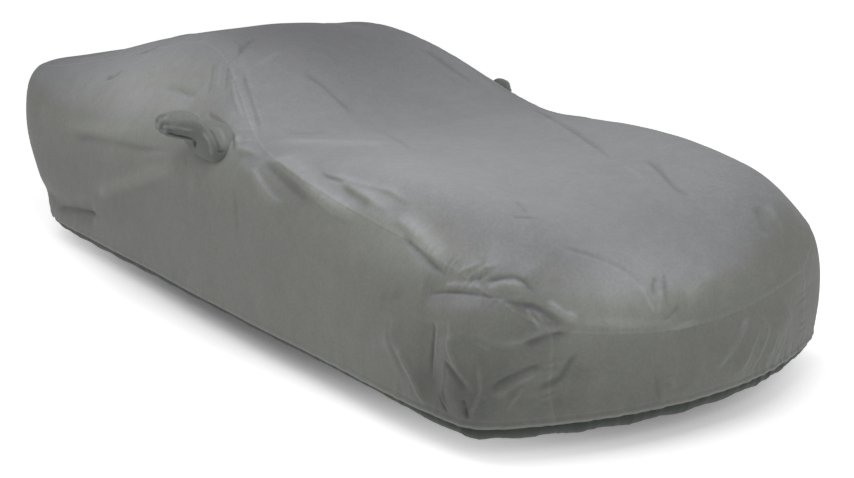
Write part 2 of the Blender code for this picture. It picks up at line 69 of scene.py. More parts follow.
# ---------------------------------------------------------------- the draped shape
# One row for each cross-section of the cover, nose to tail.  Half widths
# are from the centre plane.  Rails, from the middle out: mid, crown, top (the
# highest line on each side of the top), seam, belt, side and hem.
SECTION_COLUMNS = ("y_mid", "z_mid", "x_crown", "z_crown", "x_top", "z_top",
                   "y_seam", "x_seam", "z_seam", "x_belt", "z_belt",
                   "x_side", "z_side", "y_hem", "x_hem")
SECTIONS = (
    (-2.15, 0.41, 0.24, 0.422, 0.47, 0.452, -2.06, 0.670, 0.485,
     0.680, 0.37, 0.680, 0.24, -2.07, 0.662),
    (-2.06, 0.61, 0.31, 0.632, 0.60, 0.678, -1.96, 0.828, 0.600,
     0.900, 0.44, 0.910, 0.28, -1.96, 0.890),
    (-1.88, 0.75, 0.36, 0.778, 0.66, 0.826, -1.79, 0.862, 0.660,
     0.943, 0.49, 0.954, 0.30, -1.82, 0.955),
    (-1.65, 0.81, 0.37, 0.838, 0.68, 0.872, -1.62, 0.860, 0.690,
     0.947, 0.52, 0.964, 0.31, -1.63, 0.972),
    (-1.37, 0.85, 0.38, 0.876, 0.70, 0.903, -1.37, 0.866, 0.727,
     0.950, 0.55, 0.969, 0.33, -1.37, 0.977),
    (-1.03, 0.865, 0.40, 0.887, 0.71, 0.904, -1.03, 0.864, 0.762,
     0.948, 0.59, 0.970, 0.35, -1.03, 0.978),
    (-0.65, 0.88, 0.42, 0.895, 0.71, 0.885, -0.65, 0.850, 0.810,
     0.942, 0.65, 0.970, 0.38, -0.65, 0.978),
    (-0.25, 0.91, 0.42, 0.915, 0.68, 0.896, -0.25, 0.800, 0.864,
     0.920, 0.73, 0.968, 0.42, -0.25, 0.976),
    (0.05, 1.02, 0.38, 1.015, 0.60, 1.002, 0.05, 0.710, 0.984,
     0.895, 0.79, 0.965, 0.44, 0.05, 0.975),
    (0.35, 1.163, 0.32, 1.158, 0.49, 1.145, 0.35, 0.615, 1.112,
     0.880, 0.82, 0.962, 0.45, 0.35, 0.974),
    (ROOF_Y, ROOF_Z, 0.26, 1.217, 0.41, 1.203, ROOF_Y, 0.525, 1.180,
     0.870, 0.83, 0.958, 0.46, ROOF_Y, 0.972),
    (1.20, 1.186, 0.28, 1.176, 0.42, 1.157, 1.20, 0.540, 1.116,
     0.870, 0.82, 0.955, 0.46, 1.20, 0.968),
    (1.65, 1.094, 0.30, 1.088, 0.47, 1.068, 1.65, 0.630, 1.012,
     0.900, 0.79, 0.958, 0.46, 1.63, 0.958),
    (2.06, 0.992, 0.32, 0.988, 0.56, 0.970, 2.06, 0.785, 0.936,
     0.945, 0.76, 0.965, 0.46, 1.97, 0.905),
    (2.38, 0.925, 0.28, 0.924, 0.52, 0.920, 2.32, 0.785, 0.900,
     0.862, 0.72, 0.855, 0.46, 2.13, 0.730),
)
HALF_RAILS = ("mid", "crown", "top", "seam", "belt", "side", "hem")
SEAM_RAIL = HALF_RAILS.index("seam")
HEM_RAIL = HALF_RAILS.index("hem")
SIDES = {"right": -1.0, "left": 1.0}

# The middle of the front and of the rear, from the top seam down: (y, z).
FRONT_MIDDLE = ((-2.185, 0.330), (-2.205, 0.230), (-2.200, HEM_Z))
REAR_MIDDLE = ((2.420, 0.740), (2.390, 0.470), (2.220, HEM_Z))

# Each panel: its slot, how it is held, and its cut size before it was hung: width,
# length and area.
CUTS = {
    "top_panel": ("top_cloth", "draped", 1.75, 5.20, 7.30),
    "side_panel_right": ("side_cloth", "hung", 1.12, 4.60, 4.20),
    "side_panel_left": ("side_cloth", "hung", 1.12, 4.60, 4.20),
    "front_panel": ("end_cloth", "hung", 0.46, 1.50, 0.60),
    "rear_panel": ("end_cloth", "hung", 0.90, 1.90, 1.55),
}
PANELS = tuple(CUTS)

# The broad folds that the cloth hangs in.  A trough's height is negative, and the
# line runs over the cloth from the end where the fold is strongest.
FOLD_COLUMNS = ("name", "half_width", "height", "line")
FOLDS = (
    ("belt line", 0.08, 0.01, ((-0.95, 1.95, 0.72), (-0.91, 1.29, 0.76), (-0.89, 0.55, 0.8))),
    ("pull under the pocket", 0.07, 0.016, ((-0.92, 0.2, 0.73), (-0.95, 0.69, 0.57),
     (-0.96, 1.36, 0.38))),
    ("slack under that pull", 0.09, -0.01, ((-0.93, 0.12, 0.66), (-0.96, 0.7, 0.45),
     (-0.96, 1.2, 0.28))),
    ("pull before the pocket", 0.06, 0.012, ((-0.86, -0.12, 0.84), (-0.8, -0.3, 0.85),
     (-0.66, -0.62, 0.89))),
    ("fan before the pocket", 0.06, 0.012, ((-0.9, -0.18, 0.78), (-0.92, -0.43, 0.73),
     (-0.94, -0.7, 0.66))),
    ("fan along the side", 0.06, 0.014, ((-0.84, -0.32, 0.82), (-0.88, -0.7, 0.77),
     (-0.91, -1.05, 0.7))),
    ("long fan on the side", 0.065, 0.014, ((-0.8, -0.43, 0.85), (-0.85, -1.05, 0.78),
     (-0.87, -1.6, 0.69))),
    ("dip in the side", 0.08, -0.01, ((-0.87, -0.62, 0.76), (-0.92, -1.0, 0.66),
     (-0.93, -1.35, 0.6))),
    ("crumple by the front corner", 0.06, -0.018, ((-0.93, -1.62, 0.57), (-0.89, -1.77, 0.59),
     (-0.8, -1.93, 0.6))),
    ("roll at the front corner", 0.07, 0.016, ((-0.82, -1.84, 0.67), (-0.75, -1.92, 0.67),
     (-0.69, -1.99, 0.61))),
    ("shadow under that roll", 0.05, -0.014, ((-0.8, -1.97, 0.57), (-0.7, -2.04, 0.52),
     (-0.6, -2.08, 0.47))),
    ("front side trough", 0.06, -0.016, ((-0.95, -1.69, 0.5), (-0.96, -1.71, 0.33),
     (-0.96, -1.73, 0.14))),
    ("front side ridge", 0.06, 0.014, ((-0.97, -1.45, 0.4), (-0.97, -1.58, 0.27),
     (-0.97, -1.7, 0.14))),
    ("corner ridge", 0.06, 0.014, ((-0.94, -1.81, 0.47), (-0.95, -1.85, 0.32),
     (-0.93, -1.89, 0.14))),
    ("corner trough", 0.06, -0.014, ((-0.86, -1.97, 0.48), (-0.9, -1.94, 0.32),
     (-0.92, -1.91, 0.14))),
    ("lean at the corner", 0.06, 0.012, ((-0.66, -2.06, 0.39), (-0.79, -2.01, 0.3),
     (-0.9, -1.94, 0.2))),
    ("dent by the front seam", 0.06, -0.012, ((-0.56, -2.1, 0.37), (-0.62, -2.08, 0.28),
     (-0.68, -2.06, 0.18))),
    ("far front lean", 0.06, 0.01, ((0.36, -2.16, 0.37), (0.22, -2.19, 0.26), (0.09, -2.21, 0.15))),
    ("far front lean, low", 0.06, 0.009, ((0.55, -2.11, 0.36), (0.42, -2.15, 0.26),
     (0.32, -2.18, 0.15))),
    ("diagonal down the top", 0.09, 0.01, ((-0.34, 0.25, 1.1), (-0.3, -0.09, 0.96),
     (-0.32, -0.62, 0.9), (-0.5, -1.3, 0.88))),
    ("slack at the slope's foot", 0.14, -0.014, ((-0.35, -0.28, 0.91), (0.0, -0.3, 0.91),
     (0.45, -0.28, 0.91))),
    ("upper side slack", 0.12, -0.012, ((-0.73, 0.42, 0.98), (-0.74, 0.8, 0.98),
     (-0.76, 1.25, 0.94))),
    ("tail crease", 0.05, -0.026, ((-0.965, 1.22, 0.27), (-0.962, 1.58, 0.23), (-0.94, 1.95, 0.24),
     (-0.88, 2.14, 0.27))),
    ("left belt line", 0.08, 0.01, ((0.95, 1.9, 0.72), (0.91, 1.2, 0.76), (0.89, 0.55, 0.8))),
    ("left pull", 0.07, 0.015, ((0.92, 0.22, 0.73), (0.95, 0.74, 0.55), (0.96, 1.28, 0.36))),
    ("left fan", 0.06, 0.013, ((0.85, -0.33, 0.81), (0.89, -0.78, 0.75), (0.92, -1.18, 0.66))),
    ("left long fan", 0.065, 0.013, ((0.8, -0.46, 0.85), (0.85, -1.1, 0.78), (0.87, -1.58, 0.69))),
    ("left front side trough", 0.06, -0.015, ((0.95, -1.62, 0.47), (0.96, -1.66, 0.32),
     (0.97, -1.69, 0.14))),
    ("left corner ridge", 0.06, 0.014, ((0.93, -1.83, 0.49), (0.94, -1.86, 0.32),
     (0.93, -1.89, 0.14))),
    ("left upper side slack", 0.12, -0.012, ((0.73, 0.46, 0.98), (0.74, 0.84, 0.98),
     (0.76, 1.22, 0.94))),
    ("left tail crease", 0.05, -0.022, ((0.965, 1.26, 0.25), (0.96, 1.6, 0.24),
     (0.93, 1.98, 0.25))),
    ("rear slack", 0.1, -0.012, ((-0.55, 2.4, 0.62), (0.0, 2.44, 0.55), (0.5, 2.4, 0.66))),
    ("rear pull, right", 0.07, 0.012, ((-0.72, 2.33, 0.72), (-0.5, 2.38, 0.45),
     (-0.34, 2.32, 0.22))),
    ("rear pull, left", 0.07, 0.012, ((0.74, 2.32, 0.7), (0.58, 2.36, 0.44), (0.46, 2.3, 0.22))),
)
FOLD_FADE = (0.12, 0.30)  # shares of a fold's length over which it rises and dies away
FOLD_REACH = 3.0          # half widths beyond which a fold no longer counts

# Broad, low unevenness between the folds, as waves over the cloth: height, turning
# in radians for each metre along X, Y and Z, and phase.
SLACK_WAVES = (
    (0.0022, 5.1, 3.7, 0.0, 0.6),
    (0.0020, 0.0, -2.9, 6.3, 0.0),
    (0.0018, 2.1, 8.3, 0.0, 1.9),
)
SLACK_CLEAR = 0.6         # distance from the roof's mount over which it grows from nothing

# ---------------------------------------------------------------- the finer creases
# Creases that the photo shows, as lines of its pixels; each line is carried onto
# the smooth cloth by the camera.  Widths are half widths in metres at the line's
# start and end, heights are in metres and a trough's is negative, and skew widens
# the flank on the line's left as it is seen (above 1) or narrows it (below 1).
CREASE_COLUMNS = ("name", "start", "end", "height", "skew", "line")

# On the right side.  The left side does not show, and hangs in like creases.
SIDE_CREASES = (
    ("pull from the pocket", 0.02, 0.016, 0.015, 2.4, ((98, 196), (120, 188), (142, 181),
     (165, 173), (187, 163))),
    ("short pull over it", 0.012, 0.01, 0.004, 1.5, ((140, 158), (158, 155), (180, 158))),
    ("slack along the belt", 0.022, 0.016, -0.007, 0.7, ((70, 134), (100, 139), (130, 145),
     (152, 149), (180, 150))),
    ("light above the belt", 0.03, 0.03, 0.006, 1.0, ((62, 124), (95, 127), (130, 131),
     (152, 134))),
    ("flap at the tail", 0.022, 0.006, -0.012, 0.7, ((55, 208), (68, 209), (82, 212), (94, 215),
     (106, 218))),
    ("first fan", 0.02, 0.024, 0.009, 0.8, ((254, 168), (260, 180), (268, 192), (277, 202),
     (288, 209))),
    ("between the fans", 0.018, 0.026, -0.008, 1.0, ((264, 163), (276, 174), (290, 186), (306, 199),
     (322, 210))),
    ("second fan", 0.016, 0.016, 0.018, 3.0, ((272, 160), (288, 170), (303, 182), (318, 196),
     (334, 209), (350, 217), (366, 224))),
    ("notch over the long fan", 0.009, 0.009, -0.005, 1.0, ((322, 171), (326, 178), (336, 181),
     (345, 185))),
    ("hollow under the long fan", 0.022, 0.034, -0.006, 0.8, ((343, 188), (352, 196), (363, 204),
     (375, 213))),
    ("long fan", 0.014, 0.016, 0.006, 1.8, ((340, 181), (353, 189), (367, 197), (382, 207),
     (399, 216))),
    ("thin fan over it", 0.011, 0.011, 0.004, 1.6, ((330, 175), (350, 181), (372, 187), (390, 191),
     (404, 200), (420, 206))),
    ("end of the fans", 0.014, 0.014, 0.012, 3.2, ((398, 218), (410, 229), (420, 240), (431, 251),
     (441, 261), (448, 268))),
    ("under the end of the fans", 0.016, 0.018, -0.008, 0.6, ((404, 236), (416, 248), (428, 260),
     (440, 270), (452, 278))),
    ("faint drop", 0.02, 0.02, -0.004, 1.0, ((233, 185), (236, 205), (238, 235))),
    ("faint line by the corner", 0.018, 0.018, -0.004, 1.0, ((380, 298), (395, 297), (410, 294))),
    ("tie by the pocket", 0.008, 0.008, 0.003, 1.0, ((235, 130), (247, 130), (259, 131))),
    ("tie under it", 0.009, 0.009, 0.004, 1.0, ((236, 142), (248, 142), (261, 143))),
    ("pull at the pocket's front", 0.014, 0.02, 0.006, 1.0, ((238, 150), (250, 153), (264, 158))),
    ("upper pucker", 0.012, 0.01, -0.009, 1.0, ((139, 54), (150, 50), (158, 46), (165, 42))),
    ("upper pucker, rear", 0.012, 0.01, -0.011, 1.0, ((106, 79), (114, 77), (123, 70))),
    ("fold over the pocket", 0.016, 0.014, -0.007, 0.7, ((164, 86), (176, 88), (187, 91),
     (198, 97))),
    ("upright by the seam", 0.009, 0.009, -0.005, 1.0, ((213, 62), (210, 75), (209, 87),
     (205, 101))),
    ("second upright", 0.008, 0.008, -0.005, 1.0, ((229, 62), (226, 75), (225, 88), (221, 99))),
    ("between the uprights", 0.008, 0.008, 0.004, 1.0, ((219, 62), (218, 78), (216, 92))),
    ("long upright", 0.01, 0.01, 0.004, 1.0, ((234, 70), (233, 88), (238, 108), (246, 122))),
    ("along the front post", 0.01, 0.01, -0.006, 1.0, ((241, 71), (247, 88), (253, 105), (258, 122),
     (261, 138))),
    ("long dark crease", 0.0075, 0.007, -0.007, 1.0, ((424, 294), (440, 291), (456, 291),
     (470, 293), (486, 296), (500, 298), (513, 299))),
    ("ridge above it", 0.01, 0.011, 0.007, 1.2, ((440, 286), (458, 285), (474, 287), (488, 290))),
    ("crumple, upper", 0.008, 0.008, 0.005, 1.0, ((458, 272), (470, 268), (483, 262))),
    ("crumple, middle", 0.008, 0.008, -0.006, 1.0, ((466, 280), (480, 278), (494, 274))),
    ("crumple, front", 0.009, 0.009, 0.005, 1.0, ((476, 272), (488, 269), (500, 266))),
    ("arc over the corner", 0.0075, 0.008, -0.007, 0.8, ((484, 284), (494, 281), (504, 279),
     (514, 279), (524, 283), (531, 290), (537, 298))),
    ("roll inside the arc", 0.012, 0.014, 0.007, 1.0, ((486, 294), (494, 289), (503, 286),
     (513, 286), (521, 290), (527, 297))),
    ("under the roll", 0.012, 0.013, -0.011, 0.6, ((500, 304), (512, 302), (523, 303), (533, 305),
     (542, 309), (551, 314), (560, 320), (568, 325))),
    ("lip above it", 0.012, 0.013, 0.01, 1.2, ((545, 303), (555, 309), (566, 316), (580, 319))),
    ("short ridge under it", 0.0085, 0.0085, 0.009, 1.0, ((525, 308), (531, 317), (536, 324),
     (542, 331))),
    ("second short ridge", 0.007, 0.007, 0.006, 1.0, ((533, 310), (538, 316), (545, 322))),
    ("light under the corner", 0.011, 0.013, 0.007, 1.0, ((498, 342), (510, 341), (522, 339),
     (536, 333), (552, 328), (566, 328))),
    ("dark under the corner", 0.011, 0.014, -0.008, 1.0, ((520, 343), (534, 340), (547, 337),
     (560, 333), (574, 329))),
    ("short diagonal", 0.009, 0.009, 0.004, 1.0, ((474, 341), (484, 346), (494, 351))),
    ("sharp drop", 0.0075, 0.009, -0.008, 1.0, ((431, 318), (431, 334), (430, 350), (429, 366),
     (428, 384))),
    ("light beside it", 0.01, 0.011, 0.005, 1.0, ((438, 322), (437, 340), (435, 358))),
    ("second drop", 0.009, 0.009, 0.008, 1.0, ((449, 316), (451, 334), (453, 350), (457, 363),
     (464, 375), (471, 388), (475, 398))),
    ("hollow beside it", 0.01, 0.01, -0.007, 1.0, ((446, 358), (453, 368), (460, 379), (467, 393))),
    ("third drop", 0.008, 0.008, 0.008, 1.0, ((448, 362), (445, 376), (442, 390), (445, 401),
     (451, 413))),
    ("hollow by the hem", 0.008, 0.007, -0.007, 1.0, ((439, 394), (443, 403), (449, 413))),
    ("wide drop", 0.012, 0.012, 0.011, 1.0, ((399, 344), (405, 358), (412, 371), (418, 385),
     (423, 400), (428, 411))),
    ("first hollow", 0.016, 0.02, -0.005, 1.0, ((390, 318), (391, 334), (396, 352), (404, 370),
     (412, 388))),
    ("last drop", 0.008, 0.009, 0.01, 1.0, ((478, 360), (479, 375), (480, 388), (476, 400),
     (472, 410), (470, 420))),
    ("notch at the hem", 0.008, 0.008, -0.012, 1.0, ((463, 398), (465, 408), (467, 420))),
    ("diagonal to the corner", 0.01, 0.012, -0.007, 0.6, ((488, 391), (500, 381), (514, 373),
     (530, 366), (546, 360))),
    ("light along it", 0.012, 0.013, 0.008, 1.0, ((492, 396), (508, 385), (524, 376), (541, 367))),
    ("dent by the seam", 0.013, 0.017, -0.009, 1.0, ((577, 350), (571, 361), (564, 372), (555, 380),
     (543, 384), (528, 388))),
    ("ridge under the dent", 0.009, 0.009, 0.008, 1.0, ((524, 383), (517, 391), (511, 400),
     (506, 411))),
    ("beside the pocket", 0.006, 0.007, -0.007, 1.0, ((206, 113), (215, 119), (223, 125),
     (230, 129))),
    ("along the pocket's front", 0.007, 0.007, -0.007, 1.0, ((227, 127), (232, 136), (233, 146),
     (230, 157))),
    ("before the pocket", 0.014, 0.014, 0.005, 1.0, ((236, 136), (238, 145), (240, 154))),
)

# On the top and the front, whose two halves both show.
TOP_CREASES = (
    ("long wrinkle by the nose", 0.01, 0.012, -0.0032, 0.8, ((560, 247), (580, 252), (600, 258),
     (616, 264))),
    ("second wrinkle", 0.01, 0.012, -0.0028, 0.8, ((606, 261), (622, 268), (636, 279), (646, 290))),
    ("its turn", 0.01, 0.01, 0.005, 1.0, ((640, 284), (645, 296), (650, 306), (659, 316))),
    ("upright fold", 0.01, 0.01, -0.006, 1.0, ((656, 277), (654, 288), (656, 300))),
    ("second upright fold", 0.009, 0.009, -0.006, 1.0, ((665, 272), (666, 285), (667, 300),
     (668, 312))),
    ("between them", 0.009, 0.009, 0.005, 1.0, ((661, 290), (660, 303), (657, 316))),
    ("crossing fold", 0.01, 0.01, -0.005, 1.0, ((662, 322), (672, 314), (681, 304))),
    ("fold over the front seam", 0.01, 0.012, 0.005, 1.0, ((668, 330), (684, 326), (702, 319))),
    ("edge over the front seam", 0.012, 0.012, 0.006, 1.8, ((572, 323), (600, 324), (640, 325),
     (690, 323))),
    ("soft diagonal at the nose", 0.03, 0.03, 0.004, 1.0, ((684, 302), (700, 287), (716, 270))),
    ("far fold", 0.01, 0.012, -0.009, 0.7, ((528, 106), (545, 115), (563, 125), (580, 135),
     (597, 146), (612, 158), (624, 168))),
    ("ridge after it", 0.012, 0.012, 0.004, 1.0, ((624, 165), (636, 174), (648, 184))),
    ("second far fold", 0.012, 0.012, -0.01, 0.7, ((645, 158), (657, 167), (666, 177), (676, 188),
     (687, 196), (697, 199))),
    ("pinch", 0.009, 0.009, -0.006, 1.0, ((514, 199), (522, 204), (527, 214))),
    ("pinch across it", 0.008, 0.008, -0.004, 1.0, ((512, 217), (525, 217), (539, 217))),
    ("far corner's ridge", 0.022, 0.022, 0.006, 1.0, ((766, 204), (775, 219), (783, 236))),
    ("far corner's hollow", 0.02, 0.02, -0.005, 1.0, ((756, 206), (762, 222), (766, 238))),
    ("diagonal, upper", 0.022, 0.018, -0.007, 0.6, ((302, 71), (318, 83), (332, 95), (346, 107),
     (360, 118))),
    ("diagonal, lower", 0.016, 0.014, -0.005, 0.7, ((372, 127), (388, 136), (404, 147),
     (420, 157))),
    ("light across the slope", 0.05, 0.06, 0.007, 1.0, ((268, 142), (300, 143), (340, 144),
     (395, 147))),
    ("dark across the slope", 0.014, 0.014, -0.003, 1.0, ((285, 133), (310, 133), (335, 133))),
    ("roof fold", 0.018, 0.014, -0.007, 1.0, ((257, 38), (248, 43), (241, 51), (234, 62))),
    ("roof fold, front", 0.018, 0.018, 0.004, 1.0, ((282, 50), (270, 58), (258, 68))),
    ("far edge of the slope", 0.02, 0.02, -0.006, 1.0, ((424, 48), (442, 60), (460, 73),
     (478, 85))),
    ("front lean 1", 0.012, 0.012, 0.006, 1.0, ((749, 314), (743, 328), (735, 345), (722, 361),
     (712, 376))),
    ("front lean 2", 0.01, 0.01, 0.005, 1.0, ((757, 330), (751, 345), (744, 360), (733, 375))),
    ("front lean 3", 0.01, 0.01, 0.006, 1.0, ((768, 322), (763, 340), (757, 357), (749, 370))),
    ("front lean 4", 0.008, 0.008, 0.004, 1.0, ((776, 330), (771, 345), (765, 358))),
    ("front lean 5", 0.008, 0.008, 0.004, 1.0, ((784, 335), (779, 347), (773, 357))),
    ("low front lean", 0.01, 0.01, 0.005, 1.0, ((671, 374), (674, 390), (677, 404))),
    ("low front lean, near", 0.009, 0.009, -0.005, 1.0, ((655, 372), (657, 388), (660, 403))),
)

# On the tail, which does not show, as places on the cloth in metres.
TAIL_CREASES = (
    ("tail fan, right", 0.02, 0.026, 0.008, 1.3, ((-0.78, 2.28, 0.84), (-0.56, 2.4, 0.66),
     (-0.4, 2.41, 0.48))),
    ("lower tail fan, right", 0.016, 0.022, 0.007, 1.0, ((-0.76, 2.26, 0.76), (-0.64, 2.33, 0.52),
     (-0.6, 2.24, 0.26))),
    ("tail fan, left", 0.018, 0.024, 0.009, 0.8, ((0.79, 2.28, 0.82), (0.6, 2.38, 0.62),
     (0.5, 2.38, 0.42))),
    ("lower tail fan, left", 0.014, 0.018, 0.006, 1.0, ((0.77, 2.24, 0.7), (0.7, 2.28, 0.46),
     (0.67, 2.2, 0.22))),
    ("under the top's edge", 0.018, 0.02, -0.008, 0.8, ((-0.52, 2.42, 0.8), (0.02, 2.44, 0.77),
     (0.48, 2.42, 0.8))),
    ("tail drop, right", 0.013, 0.016, -0.009, 1.0, ((-0.33, 2.39, 0.47), (-0.29, 2.32, 0.29),
     (-0.3, 2.24, 0.14))),
    ("tail drop, middle", 0.012, 0.014, 0.007, 1.0, ((-0.06, 2.39, 0.42), (-0.02, 2.33, 0.28),
     (-0.03, 2.25, 0.14))),
    ("tail drop, left", 0.013, 0.016, -0.01, 1.0, ((0.22, 2.39, 0.45), (0.26, 2.32, 0.28),
     (0.24, 2.24, 0.14))),
    ("corner drop, right", 0.014, 0.016, 0.009, 1.0, ((-0.8, 2.2, 0.58), (-0.78, 2.16, 0.36),
     (-0.74, 2.12, 0.14))),
    ("corner drop, left", 0.013, 0.015, 0.008, 1.0, ((0.81, 2.2, 0.56), (0.79, 2.16, 0.35),
     (0.75, 2.12, 0.14))),
    ("slack on the rear of the top", 0.05, 0.06, -0.006, 1.0, ((-0.5, 2.0, 0.99), (0.0, 1.92, 1.02),
     (0.45, 2.02, 0.99))),
    ("pull down the rear slope", 0.028, 0.022, 0.006, 1.4, ((0.5, 1.02, 1.18), (0.36, 1.5, 1.11),
     (0.4, 2.0, 0.99))),
    ("pull down the rear slope, right", 0.024, 0.02, 0.005, 0.8, ((-0.42, 1.08, 1.18),
     (-0.26, 1.52, 1.11), (-0.3, 1.92, 1.01))),
)
CREASE_FADE = (0.18, 0.30)  # shares of a crease's length over which it rises and dies away
CREASE_UNEVEN = 0.18      # how much a crease's height comes and goes along it
CREASE_TURNS = 11.0       # radians of that over its length
CREASE_PHASE = 1.7        # radians by which each crease's differs from the last
LINE_STEP = 0.02          # distance between the points that a crease is followed by
TWIN_SHARE = 0.65         # height of the left side's creases, as a share of the right side's
TWIN_SHIFT = 0.045        # most that they lie further back or forward
TWIN_TURNS = 2.4          # radians by which each one's shift differs from the last
TWIN_CLEAR = (-1.80, 0.22)    # ahead of this and above this, the left side shows and has none
PAINTED_FOLD_FULL_AT = 0.008         # height at which a crease's painted highlight and shade are full


# ---------------------------------------------------------------- helpers
def rows_of(columns, table):
    """A table's rows, each by its columns' names."""
    return [dict(zip(columns, row)) for row in table]


def soft_step(value):
    """0 below 0, 1 above 1, smooth between."""
    value = np.clip(value, 0.0, 1.0)
    return value * value * (3.0 - 2.0 * value)


def unit(vectors):
    """Vectors cut to a length of 1; one with no length stays so."""
    return vectors / np.maximum(np.linalg.norm(vectors, axis=1), 1.0e-12)[:, None]


def dot(first, second):
    """The dot product of each pair of vectors."""
    return np.einsum("pk,pk->p", first, second)


def swaying(turn, sway):
    """A wave that runs a little unevenly: sway is by how much, and how often."""
    return np.sin(turn + sway[0] * np.sin(sway[1] * turn))


def patches(plan, along, across):
    """A share that comes and goes: its middle, how much, and turning along and across."""
    return plan[0] + plan[1] * np.sin(plan[2] * along + plan[3] * across)


def add_object(name, data):
    """An object in the scene."""
    made = bpy.data.objects.new(name, data)
    bpy.context.scene.collection.objects.link(made)
    return made


def mesh_of(name, bm):
    """A finished bmesh as a mesh."""
    mesh = bpy.data.meshes.new(name)
    bm.to_mesh(mesh)
    bm.free()
    return mesh


def tree_of(points, quads):
    """A surface that rays can be cast on."""
    return BVHTree.FromPolygons([Vector(point) for point in points], quads.tolist())


# ---------------------------------------------------------------- the smooth cloth
STATIONS = rows_of(SECTION_COLUMNS, SECTIONS)


def rail_point(section, rail):
    """A point of one cross-section; negative rails are on the right side, at -X."""
    row = STATIONS[section]
    step = abs(rail)
    if step == 0:
        return Vector((0.0, row["y_mid"], row["z_mid"]))
    x = row["x_" + HALF_RAILS[step]]
    z = HEM_Z if step == HEM_RAIL else row["z_" + HALF_RAILS[step]]
    if step <= SEAM_RAIL:
        bow = (x / row["x_seam"]) ** 2
        y = row["y_mid"] + (row["y_seam"] - row["y_mid"]) * bow
    else:
        drop = (row["z_seam"] - z) / (row["z_seam"] - HEM_Z)
        y = row["y_seam"] + (row["y_hem"] - row["y_seam"]) * drop
    return Vector((math.copysign(x, rail), y, z))


def end_point(section, middle, row, rail):
    """A point of the front or rear face, bowed between the two corner seams."""
    corner = rail_point(section, SEAM_RAIL + row)
    x = rail_point(section, rail).x * corner.x / rail_point(section, SEAM_RAIL).x
    bow = 1.0 - (x / corner.x) ** 2
    y = corner.y + (middle[row - 1][0] - corner.y) * bow
    z = corner.z + (middle[row - 1][1] - corner.z) * bow
    return Vector((x, y, z))


def add_cage():
    """The tables' points as one open mesh; a face's material index is its panel."""
    bm = bmesh.new()
    last = len(SECTIONS) - 1
    grid = {("body", section, rail): bm.verts.new(rail_point(section, rail))
            for section in range(len(SECTIONS)) for rail in range(-HEM_RAIL, HEM_RAIL + 1)}
    for end, section, middle in (("front", 0, FRONT_MIDDLE), ("rear", last, REAR_MIDDLE)):
        for rail in range(-SEAM_RAIL, SEAM_RAIL + 1):
            grid[end, 0, rail] = grid["body", section, rail]
            for row in range(1, len(middle) + 1):
                if abs(rail) == SEAM_RAIL:
                    outer = int(math.copysign(SEAM_RAIL + row, rail))
                    grid[end, row, rail] = grid["body", section, outer]
                else:
                    grid[end, row, rail] = bm.verts.new(end_point(section, middle, row, rail))
    between = range(-SEAM_RAIL, SEAM_RAIL)
    for panel, part, rows, rails in (
            ("top_panel", "body", last, between),
            ("side_panel_right", "body", last, range(-HEM_RAIL, -SEAM_RAIL)),
            ("side_panel_left", "body", last, range(SEAM_RAIL, HEM_RAIL)),
            ("front_panel", "front", len(FRONT_MIDDLE), between),
            ("rear_panel", "rear", len(REAR_MIDDLE), between)):
        for row in range(rows):
            for rail in rails:
                ring = [grid[part, row, rail], grid[part, row, rail + 1],
                        grid[part, row + 1, rail + 1], grid[part, row + 1, rail]]
                face = bm.faces.new(ring[::-1] if part == "front" else ring)
                face.material_index = PANELS.index(panel)
    return bm


def smoothed_position(vert):
    """Where a cage corner lands once its mesh has been smoothed without end.

    The weights are those of the subdivision's own limit, at the rim and inside it.
    """
    if vert.is_boundary:
        rim = [edge.other_vert(vert) for edge in vert.link_edges if edge.is_boundary]
        return (vert.co * 4.0 + rim[0].co + rim[1].co) / 6.0
    valence = len(vert.link_edges)
    total = vert.co * valence * valence
    near = {edge.other_vert(vert) for edge in vert.link_edges}
    for other in near:
        total = total + other.co * 4.0
    for face in vert.link_faces:
        for other in face.verts:
            if other is not vert and other not in near:
                total = total + other.co
    return total / (valence * (valence + 5.0))


def cage_mesh():
    """The cage, pushed out until its smoothed surface runs through the tables' points."""
    bm = add_cage()
    wanted = [vert.co.copy() for vert in bm.verts]
    for _ in range(FIT_ROUNDS):
        landed = [smoothed_position(vert) for vert in bm.verts]
        for vert, goal, now in zip(bm.verts, wanted, landed):
            vert.co += goal - now
    return mesh_of("cage", bm)


def smoothed_arrays(mesh, levels):
    """A mesh smoothed by subdivision, as points, normals, quads and material indices."""
    cage = add_object("cage", mesh)
    smooth = cage.modifiers.new("smooth", "SUBSURF")
    smooth.levels = smooth.render_levels = levels
    bpy.context.view_layer.update()
    fine = cage.evaluated_get(bpy.context.evaluated_depsgraph_get()).to_mesh()
    points = np.empty(len(fine.vertices) * 3, np.float32)
    quads = np.empty(len(fine.loops), np.int32)
    panels = np.empty(len(fine.polygons), np.int32)
    fine.vertices.foreach_get("co", points)
    fine.loops.foreach_get("vertex_index", quads)
    fine.polygons.foreach_get("material_index", panels)
    bpy.data.objects.remove(cage, do_unlink=True)
    points = points.reshape(-1, 3).astype(float)
    quads = quads.reshape(-1, 4)
    return points, normals_of(points, quads), quads, panels


def normals_of(points, quads):
    """Vertex normals of a mesh of quads."""
    corner = points[quads]
    across = np.cross(corner[:, 2] - corner[:, 0], corner[:, 3] - corner[:, 1])
    return unit(np.stack([np.bincount(quads.ravel(), np.repeat(part, 4), len(points))
                          for part in across.T], axis=1))


# ---------------------------------------------------------------- lines on the cloth
def eye_axes():
    """The camera's right, up and forward directions."""
    forward = np.array((math.sin(EYE_YAW) * math.cos(EYE_PITCH),
                        math.cos(EYE_YAW) * math.cos(EYE_PITCH), -math.sin(EYE_PITCH)))
    right = np.cross(forward, (0.0, 0.0, 1.0))
    right /= np.linalg.norm(right)
    return right, np.cross(right, forward), forward


